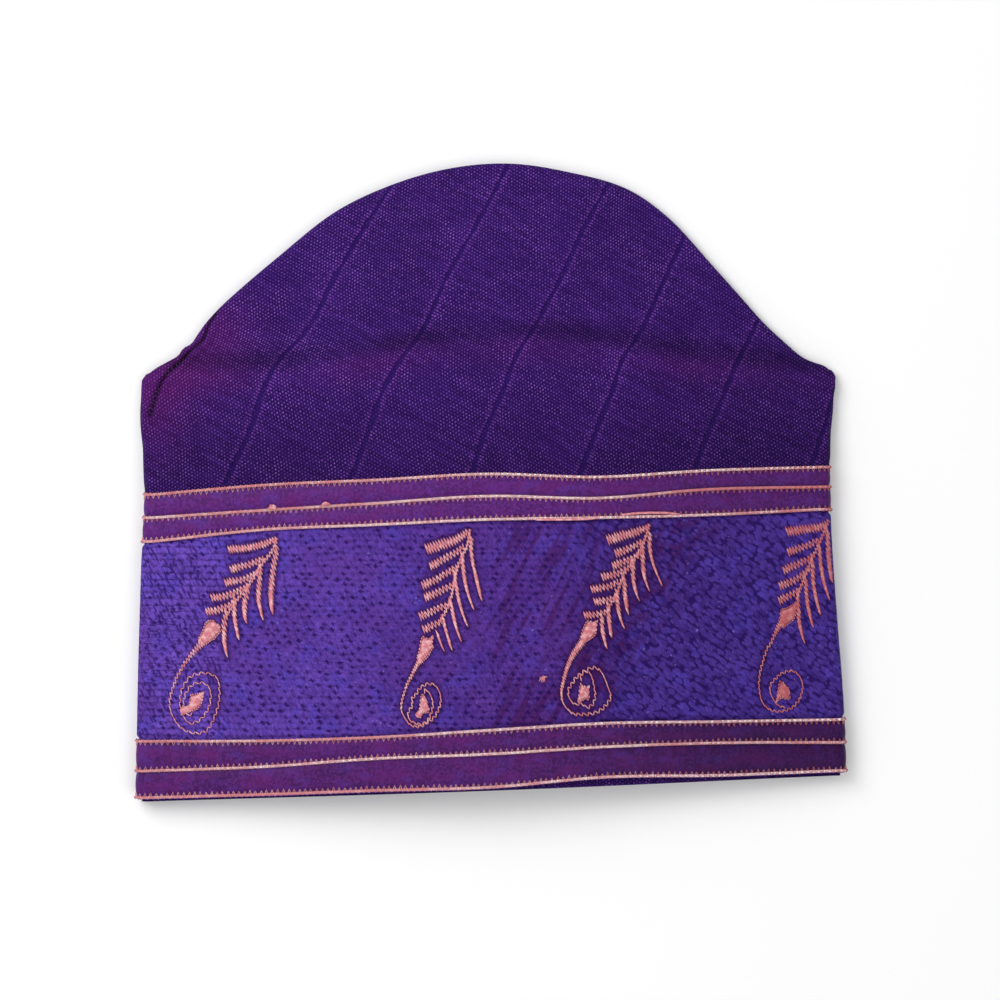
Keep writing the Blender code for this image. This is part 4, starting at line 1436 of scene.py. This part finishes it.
def build_braids(settings):
    """Two silver strands twisted round each other along every trim line."""
    material = braid_finish(settings)
    strand_diameter = 0.5 * settings.cord_diameter
    turns = round(ROUTE_LENGTH / settings.twist_pitch)
    count = turns * settings.steps_per_turn
    for line in TRIM_LINES:
        route = trim_route(line.name, count)
        phase = 2.0 * math.pi * turns * np.arange(count) / count
        strands = []
        for start in (0.0, math.pi):
            swing = 0.5 * strand_diameter
            strand = route.points + swing * np.cos(phase + start)[:, None] * route.out
            strand = strand + swing * np.sin(phase + start)[:, None] * route.up
            strand[:, 2] = np.maximum(strand[:, 2], 0.4 * strand_diameter)
            strands.append(strand)
        braid = add_threads(line.name + "_cord", strands, strand_diameter, material, looped=True)
        mark_silver(braid.data, line.name)
        dress(braid, "copper_braid", line.name)


def mark_silver(mesh, name):
    """Let the mesh carry how silver the cord is along the front."""
    across = np.clip(vertex_places(mesh)[:, 0] / RIM_WIDTH + 0.5, 0.0, 1.0)
    carry(mesh, "silver", np.clip(station_curve(named(SILVER_LINES, name), across), 0.0, 1.0))


def build_couching(settings):
    """A copper thread that zigzags over every cord, with teeth on one side of it."""
    material = copper_finish("couching_thread", settings)
    teeth = round(ROUTE_LENGTH / settings.tooth_pitch)
    steps = 24
    random = np.random.default_rng(31)
    for line in TRIM_LINES:
        side = TOOTH_SIDES[line.name]
        route = trim_route(line.name, teeth * steps)
        radius = 0.5 * settings.cord_diameter
        points = []
        for tooth in range(teeth):
            length = settings.tooth_length * random.uniform(0.75, 1.1)
            slip = random.uniform(-0.08, 0.08)
            for share, reach, lift in BEATS:
                index = int(round((tooth + share + slip) * steps)) % len(route.points)
                across = side * (length if reach is None else reach * radius)
                point = route.points[index] + across * route.up[index]
                point = point + lift * radius * route.out[index]
                point[2] = max(point[2], 0.3 * settings.couching_diameter)
                points.append(point)
        strand = np.array(points)
        couching = add_threads(
            line.name + "_couching", [strand], settings.couching_diameter, material, looped=True, roundness=0
        )
        carry(couching.data, "raised", np.ones(len(couching.data.vertices)))
        dress(couching, "copper_braid")


def travelled(path):
    """Return the distance along a path at each of its points."""
    return np.concatenate(([0.0], np.cumsum(np.linalg.norm(np.diff(path, axis=0), axis=1))))


def smoothed(path):
    """Return a path with smooth bends through the same places."""
    stops = travelled(path)
    places = np.linspace(0.0, stops[-1], 14 * len(path))
    return np.column_stack([smooth_curve(stops, part, places) for part in path.T])


def zigzag(path, stations, reaches, pitches, random):
    """Return the needle's places for stitches thrown to and fro across a path."""
    stops = travelled(path)
    fine = np.linspace(0.0, stops[-1], 1500)
    density = 2.0 / np.interp(fine, stations, pitches)
    counted = np.concatenate(([0.0], np.cumsum(0.5 * (density[1:] + density[:-1]) * np.diff(fine))))
    places = np.interp(np.arange(int(counted[-1]) + 1), counted, fine)
    centres = np.column_stack([np.interp(places, stops, part) for part in path.T])
    reach = np.interp(places, stations, reaches) * random.uniform(0.88, 1.08, len(places))
    side = np.where(np.arange(len(places)) % 2 == 0, 1.0, -1.0)
    ends = centres + (reach * side)[:, None] * THROW
    return ends + random.uniform(-0.00008, 0.00008, ends.shape)


def filled(outline, pitch, random):
    """Return the needle's places for stitches that fill an outline."""
    across = np.array([-THROW[1], THROW[0]])
    places = outline @ across
    depths = outline @ THROW
    ends = []
    lines = np.arange(places.min() + 0.4 * pitch, places.max(), pitch)
    for index, line in enumerate(lines):
        hits = []
        for here in range(len(outline)):
            there = (here + 1) % len(outline)
            low, high = sorted((places[here], places[there]))
            if low <= line < high:
                share = (line - places[here]) / (places[there] - places[here])
                hits.append(mix(depths[here], depths[there], share))
        if hits:
            order = (min(hits), max(hits)) if index % 2 == 0 else (max(hits), min(hits))
            ends += [line * across + depth * THROW for depth in order]
    ends = np.array(ends)
    return ends + random.uniform(-0.00007, 0.00007, ends.shape)


def sewn(ends, lift, arch=0.3):
    """Return points and lifts of a thread that dips at each of its needle places."""
    count = len(ends) - 1
    points = np.empty((3 * count + 1, 2))
    lifts = np.empty(3 * count + 1)
    points[0::3] = ends
    points[1::3] = mix(ends[:-1], ends[1:], arch)
    points[2::3] = mix(ends[:-1], ends[1:], 1.0 - arch)
    lifts[0::3] = -0.25 * lift
    lifts[1::3] = lift
    lifts[2::3] = lift
    return points, lifts


def feather_threads(feather, settings, random):
    """Return the threads of a feather's barbs, spine, drop and spot, as measured on the picture."""
    lift = settings.thread_lift
    pitch = settings.stitch_pitch
    threads = []
    for number, barb in enumerate(feather.left):
        path = smoothed(metres(barb))
        length = travelled(path)[-1]
        tip, middle, late, root = metres(feather.first_reach if number == 0 else LEFT_REACH)
        wide = pitch * (0.90 if number == 0 else 1.15)
        stations = (0.0, 0.0018, 0.35 * length, 0.7 * length, length)
        pitches = (0.85 * pitch, 0.85 * pitch, wide, wide, wide)
        ends = zigzag(path, stations, (0.95 * tip, tip, middle, late, root), pitches, random)
        threads.append(sewn(ends, lift))
    for barb in feather.right:
        path = smoothed(metres(barb))
        length = travelled(path)[-1]
        root, middle, late, tip = metres(RIGHT_REACH)
        stations = (0.0, 0.4 * length, length - 0.0048, length - 0.0004)
        pitches = (1.6 * pitch, 1.6 * pitch, 1.0 * pitch, 0.8 * pitch)
        ends = zigzag(path, stations, (root, middle, late, tip), pitches, random)
        threads.append(sewn(ends, 1.1 * lift))
    spine = smoothed(metres(feather.spine))
    ends = zigzag(spine, (0.0, 1.0), (0.0010, 0.0010), (1.2 * pitch, 1.2 * pitch), random)
    threads.append(sewn(ends, 1.2 * lift))
    for outline in (DROPS[feather.name], SPOTS[feather.name]):
        ends = filled(metres(outline), 0.00046, random)
        threads.append(sewn(ends, 1.1 * lift, 0.2))
    return threads


def mark_raised(mesh, reach):
    """Let the mesh carry how high its threads stand over the front of the band."""
    x, y, z = vertex_places(mesh).T
    ground = on_front(x, y, PANEL_DEPTH)[..., 2]
    raised = np.clip((z - ground) / reach, 0.0, 1.0)
    carry(mesh, "raised", np.where(z > 0.4 * PANEL_LEVEL, raised, 1.0))


def stem_thread(feather, settings, random):
    """Return the needle's places down a feather's stem and round its curl."""
    path = smoothed(metres(STEMS[feather.name]))
    stations = metres(STEM_STATIONS)
    reaches = metres(STEM_REACHES[feather.name])
    pitches = metres(STEM_PITCHES[feather.name])
    return sewn(zigzag(path, stations, reaches, pitches, random), settings.thread_lift)


def build_feathers(settings):
    """Embroider the four feathers on the front of the band, and their like on its back."""
    material = copper_finish("embroidery_thread", settings)
    for face, placed, roundness in (("front", on_front, 1), ("back", on_back, 0)):
        for number, feather in enumerate(FEATHERS, start=1):
            random = np.random.default_rng(100 + number)
            sewing = feather_threads(feather, settings, random)
            strands = [placed(*on_panel(points).T, PANEL_DEPTH - lifts) for points, lifts in sewing]
            name = f"{feather.name}_{face}"
            barbs = add_threads(name, strands, settings.thread_diameter, material, roundness=roundness)
            mark_raised(barbs.data, settings.thread_lift + 0.5 * settings.thread_diameter)
            dress(barbs, "copper_braid")
            points, lifts = stem_thread(feather, settings, random)
            strands = [placed(*on_panel(points).T, PANEL_DEPTH - lifts)]
            name = f"{feather.name}_stem_{face}"
            stem = add_threads(name, strands, settings.stem_diameter, material, roundness=roundness)
            mark_raised(stem.data, settings.thread_lift + 0.5 * settings.stem_diameter)
            dress(stem, "copper_braid")


def build_loose_threads(settings):
    """The tuft on the band, the knots on a cord, and short strands that left their cords."""
    copper = copper_finish("tuft_thread", settings)
    random = np.random.default_rng(57)
    for tuft in TUFTS:
        strands = []
        for _ in range(tuft.threads):
            start_x = tuft.x + random.uniform(-0.5, 0.5) * tuft.reach
            start_y = tuft.y + random.uniform(-0.4, 0.4) * tuft.reach
            angle = random.uniform(-math.pi, math.pi)
            reach = tuft.reach * random.uniform(0.45, 1.0)
            shares = np.linspace(-1.0, 1.0, 6)
            xs = start_x + reach * shares * math.cos(angle)
            bow = 0.3 * tuft.reach * np.cos(shares * 2.0)
            ys = start_y + reach * shares * math.sin(angle) * tuft.flat + bow
            lifts = tuft.lift + 0.0005 * np.cos(shares * 1.3)
            strands.append(on_front(*on_panel(np.column_stack((xs, ys))).T, PANEL_DEPTH - lifts))
        piece = add_threads(tuft.name, strands, tuft.thickness, copper)
        carry(piece.data, "raised", np.ones(len(piece.data.vertices)))
        dress(piece, "copper_braid")
    strands = []
    for strand in STRAY_STRANDS:
        path = smoothed(metres(strand))
        lifts = 0.0009 * np.sin(math.pi * np.linspace(0.0, 1.0, len(path))) ** 0.5
        strands.append(on_front(*on_panel(path).T, PANEL_DEPTH - lifts))
    stray = add_threads("stray_strands", strands, 0.0010, copper)
    carry(stray.data, "raised", np.ones(len(stray.data.vertices)))
    dress(stray, "copper_braid")


def build_stage(settings):
    set_apart()
    bpy.ops.mesh.primitive_plane_add(size=6.0, location=(0.0, 0.0, 0.0))
    floor = bpy.context.object
    floor.name = "floor"
    floor.data.materials.append(floor_finish(tuple(settings.floor_colour)))
    world = bpy.data.worlds.new("studio")
    bpy.context.scene.world = world
    world.use_nodes = True
    background = world.node_tree.nodes["Background"]
    background.inputs["Color"].default_value = (1.0, 1.0, 1.0, 1.0)
    background.inputs["Strength"].default_value = settings.sky_strength
    for name, energy, size, place in (
        ("key_light", settings.key_power, 0.9, (-0.75, 0.55, 1.05)),
        ("fill_light", settings.fill_power, 1.2, (0.55, -0.75, 1.10)),
    ):
        bpy.ops.object.light_add(type="AREA", location=place)
        light = bpy.context.object
        light.name = name
        light.data.energy = energy
        light.data.size = size
        aim = -light.location.normalized()
        light.rotation_euler = aim.to_track_quat("-Z", "Y").to_euler()
    distance = settings.lens / SENSOR_WIDTH * settings.view_width
    bpy.ops.object.camera_add(location=(*settings.view_middle, distance + VIEW_LEVEL))
    camera = bpy.context.object
    camera.name = "camera"
    camera.rotation_euler = (0.0, 0.0, 0.0)
    camera.data.lens = settings.lens
    camera.data.sensor_width = SENSOR_WIDTH
    bpy.context.scene.camera = camera
    bpy.context.scene.view_settings.view_transform = "Standard"


def colour(name, description, default):
    return FloatVectorProperty(
        name=name, description=description, default=default, size=3, min=0.0, max=1.0, subtype="COLOR"
    )


def length(name, description, default):
    return FloatProperty(
        name=name, description=description, default=default, min=0.0, precision=5, unit="LENGTH"
    )


def power(name, description, default):
    return FloatProperty(name=name, description=description, default=default, unit="POWER")


def amount(name, description, default):
    return IntProperty(name=name, description=description, default=default, min=2)


class CapCrown(bpy.types.PropertyGroup):
    cloth_colour: colour("Cloth", "Weft threads of the crown", (0.040, 0.0085, 0.150))
    shade_colour: colour("Shade", "Gaps between the weft threads", (0.014, 0.0022, 0.056))
    thread_colour: colour("Thread", "Raised threads of the weave", (0.170, 0.060, 0.370))
    glint_colour: colour("Glint", "Brightest raised threads", (0.330, 0.130, 0.560))
    tick_colour: colour("Tick", "Long threads beside the stripes", (0.200, 0.055, 0.400))
    # Painted sheen colours for the ridge below the crease and the left ear
    blush_colour: colour("Blush", "Magenta threads at the ear and the crease", (0.320, 0.065, 0.340))
    painted_sheen_ground_colour: colour("Low blush", "Ground of the magenta threads", (0.070, 0.006, 0.095))
    stripe_colour: colour("Stripe", "Sunk stripes", (0.017, 0.004, 0.088))
    warp_pitch: length("Warp pitch", "Distance between raised threads in a row", 0.00128)
    weft_pitch: length("Weft pitch", "Distance between rows of raised threads", 0.00120)
    stripe_spacing: length("Stripe spacing", "Distance between the stripes, square to them", 0.0406)
    stripe_width: length("Stripe width", "Width of a sunk stripe", 0.0014)
    stripe_depth: length("Stripe depth", "How far a stripe is sunk", 0.00028)
    crease_depth: length("Crease depth", "How deep the crease is pressed in", 0.0009)
    columns: amount("Columns", "Faces across the front", 250)
    rows: amount("Rows", "Faces from the band to the dome", 104)


class CapBand(bpy.types.PropertyGroup):
    stitch_colour: colour("Stitch", "Fill stitch left of the middle", (0.145, 0.066, 0.470))
    # Painted shade right of the middle, painted light at the left, and painted shade on the dashes at the
    # right
    dusk_colour: colour("Dusk stitch", "Fill stitch right of the middle", (0.102, 0.036, 0.300))
    left_painted_light_colour: colour("Near stitch", "Fill stitch at the left", (0.170, 0.080, 0.540))
    far_painted_shade_colour: colour("Far stitch", "Dashes at the right", (0.076, 0.036, 0.290))
    blue_colour: colour("Blue stitch", "Bluer patches of the fill stitch", (0.075, 0.050, 0.440))
    warm_colour: colour("Warm stitch", "Purple patches of the fill stitch", (0.105, 0.032, 0.250))
    # Dark base cloth in the pits, with painted shade in these hollows
    pit_colour: colour("Pit", "Needle pits and the gaps between stitches", (0.016, 0.003, 0.085))
    patch_colour: colour("Patch", "Base cloth that shows between the threads", (0.055, 0.007, 0.075))
    # Painted shadow round the feathers' stitches
    shadow_colour: colour("Shadow", "Puckered cloth beside the feathers", (0.030, 0.004, 0.060))
    gleam_colour: colour("Gleam", "Light glints of the stitches", (0.380, 0.280, 0.780))
    stitch_length: length("Stitch length", "Distance between needle pits in a row", 0.0041)
    row_pitch: length("Row pitch", "Distance between rows of needle pits", 0.0025)
    stitch_relief: length("Stitch relief", "Depth of a needle pit", 0.00028)
    columns: amount("Columns", "Faces across the front", 360)
    rows: amount("Rows", "Faces up the stitched panel", 108)


class CapRibbons(bpy.types.PropertyGroup):
    upper_colour: colour("Upper satin", "Ribbons above the panel", (0.118, 0.023, 0.200))
    lower_colour: colour("Lower satin", "Ribbons below the panel", (0.090, 0.018, 0.152))
    warm_colour: colour("Warm satin", "Magenta patches of the satin", (0.125, 0.014, 0.140))
    gleam_colour: colour("Gleam", "Blue gleam beside the stitches", (0.085, 0.036, 0.300))
    pucker_pitch: length("Pucker pitch", "Distance between puckers", 0.0055)
    pucker_depth: length("Pucker depth", "Depth of a pucker", 0.00022)
    columns: amount("Columns", "Faces across the front", 260)


class CapBraids(bpy.types.PropertyGroup):
    silver_colour: colour("Silver", "Silver strands", (0.660, 0.340, 0.420))
    painted_glint_colour: colour("White", "Glints of the silver strands", (1.000, 0.960, 0.980))
    copper_colour: colour("Copper", "Copper thread", (0.680, 0.230, 0.270))
    # Painted shade on the cords' sides, and the couching thread's colour at the right
    far_copper_colour: colour("Far copper", "Thread at the cords' sides", (0.400, 0.080, 0.100))
    dip_painted_shade_colour: colour("Dip", "Thread where it dips into the cloth", (0.180, 0.020, 0.060))
    glint_colour: colour("Glint", "Pale glints of the thread", (1.000, 0.700, 0.720))
    cord_diameter: length("Cord diameter", "Diameter of the twisted cord", 0.0013)
    twist_pitch: length("Twist pitch", "Length of one turn of the twist", 0.0021)
    steps_per_turn: amount("Steps", "Steps in one turn of the twist", 7)
    tooth_pitch: length("Tooth pitch", "Distance between couching teeth", 0.0022)
    tooth_length: length("Tooth length", "Reach of a tooth from the cord's middle", 0.0018)
    couching_diameter: length("Couching thread", "Diameter of the couching thread", 0.00036)


class CapFeathers(bpy.types.PropertyGroup):
    copper_colour: colour("Copper", "Embroidery thread", (0.730, 0.240, 0.290))
    far_copper_colour: colour("Far copper", "Embroidery thread at the right", (0.450, 0.088, 0.105))
    dip_painted_shade_colour: colour("Dip", "Thread where it dips into the cloth", (0.160, 0.016, 0.050))
    glint_colour: colour("Glint", "Pale glints of the thread", (1.000, 0.700, 0.720))
    thread_diameter: length("Thread", "Diameter of the barbs' thread", 0.00048)
    stem_diameter: length("Stem thread", "Diameter of the stem's thread", 0.00044)
    thread_lift: length("Lift", "How high the threads arch over the band", 0.00042)
    stitch_pitch: length("Stitch pitch", "Length of one to and fro of a barb's stitches", 0.00130)


class CapStage(bpy.types.PropertyGroup):
    floor_colour: colour("Floor", "Plain floor", (0.900, 0.900, 0.900))
    sky_strength: FloatProperty(name="Sky", description="Strength of the even light", default=0.55)
    key_power: power("Key", "Power of the light from the upper left", 14.0)
    fill_power: power("Fill", "Power of the light from the lower right", 5.0)
    lens: FloatProperty(name="Lens", description="Focal length in millimetres", default=135.0)
    view_width: length("View width", "Width that the picture takes in", 0.400)
    view_middle: FloatVectorProperty(
        name="View middle", description="Place under the camera", default=VIEW_MIDDLE, size=2, unit="LENGTH"
    )


class CAP_OT_crown(bpy.types.Operator):
    """Make the woven crown with its stripes and crease"""

    bl_idname = "cap.crown"
    bl_label = "Crown"

    def execute(self, context):
        build_crown(context.scene.cap_crown)
        return {"FINISHED"}


class CAP_OT_side_seam(bpy.types.Operator):
    """Stitch the seam at the left ear"""

    bl_idname = "cap.side_seam"
    bl_label = "Side Seam"

    def execute(self, context):
        build_side_seam(context.scene.cap_crown)
        return {"FINISHED"}


class CAP_OT_band(bpy.types.Operator):
    """Make the band with its fill stitch"""

    bl_idname = "cap.band"
    bl_label = "Band"

    def execute(self, context):
        build_band(context.scene.cap_band)
        return {"FINISHED"}


class CAP_OT_ribbons(bpy.types.Operator):
    """Sew the satin ribbons round the band"""

    bl_idname = "cap.ribbons"
    bl_label = "Ribbons"

    def execute(self, context):
        build_ribbons(context.scene.cap_ribbons)
        return {"FINISHED"}


class CAP_OT_braids(bpy.types.Operator):
    """Lay the twisted cords along the ribbons"""

    bl_idname = "cap.braids"
    bl_label = "Braids"

    def execute(self, context):
        build_braids(context.scene.cap_braids)
        return {"FINISHED"}


class CAP_OT_couching(bpy.types.Operator):
    """Sew the cords down with a zigzag thread"""

    bl_idname = "cap.couching"
    bl_label = "Couching"

    def execute(self, context):
        build_couching(context.scene.cap_braids)
        return {"FINISHED"}


class CAP_OT_feathers(bpy.types.Operator):
    """Embroider the feathers and their curls"""

    bl_idname = "cap.feathers"
    bl_label = "Feathers"

    def execute(self, context):
        build_feathers(context.scene.cap_feathers)
        return {"FINISHED"}


class CAP_OT_loose_threads(bpy.types.Operator):
    """Leave the tuft, the knots and stray strands on the band"""

    bl_idname = "cap.loose_threads"
    bl_label = "Loose Threads"

    def execute(self, context):
        build_loose_threads(context.scene.cap_feathers)
        return {"FINISHED"}


class CAP_OT_stage(bpy.types.Operator):
    """Set up the floor, the lights and the camera"""

    bl_idname = "cap.stage"
    bl_label = "Stage"

    def execute(self, context):
        build_stage(context.scene.cap_stage)
        return {"FINISHED"}


GROUPS = {
    "cap_crown": CapCrown,
    "cap_band": CapBand,
    "cap_ribbons": CapRibbons,
    "cap_braids": CapBraids,
    "cap_feathers": CapFeathers,
    "cap_stage": CapStage,
}
OPERATORS = (
    CAP_OT_crown,
    CAP_OT_side_seam,
    CAP_OT_band,
    CAP_OT_ribbons,
    CAP_OT_braids,
    CAP_OT_couching,
    CAP_OT_feathers,
    CAP_OT_loose_threads,
    CAP_OT_stage,
)


class CAP_PT_panel(bpy.types.Panel):
    bl_label = "Aso Oke Cap"
    bl_idname = "CAP_PT_panel"
    bl_space_type = "VIEW_3D"
    bl_region_type = "UI"
    bl_category = "Aso Oke Cap"

    def draw(self, context):
        for operator in OPERATORS:
            self.layout.operator(operator.bl_idname)
        for name in GROUPS:
            box = self.layout.box()
            group = getattr(context.scene, name)
            for field in group.__annotations__:
                box.prop(group, field)


def register():
    for group in GROUPS.values():
        bpy.utils.register_class(group)
    for operator in OPERATORS:
        bpy.utils.register_class(operator)
    bpy.utils.register_class(CAP_PT_panel)
    for name, group in GROUPS.items():
        setattr(bpy.types.Scene, name, PointerProperty(type=group))


def unregister():
    for name in GROUPS:
        delattr(bpy.types.Scene, name)
    bpy.utils.unregister_class(CAP_PT_panel)
    for operator in reversed(OPERATORS):
        bpy.utils.unregister_class(operator)
    for group in reversed(list(GROUPS.values())):
        bpy.utils.unregister_class(group)


def main():
    register()
    bpy.ops.cap.crown()
    bpy.ops.cap.side_seam()
    bpy.ops.cap.band()
    bpy.ops.cap.ribbons()
    bpy.ops.cap.braids()
    bpy.ops.cap.couching()
    bpy.ops.cap.feathers()
    bpy.ops.cap.loose_threads()
    bpy.ops.cap.stage()


if __name__ == "__main__":
    main()
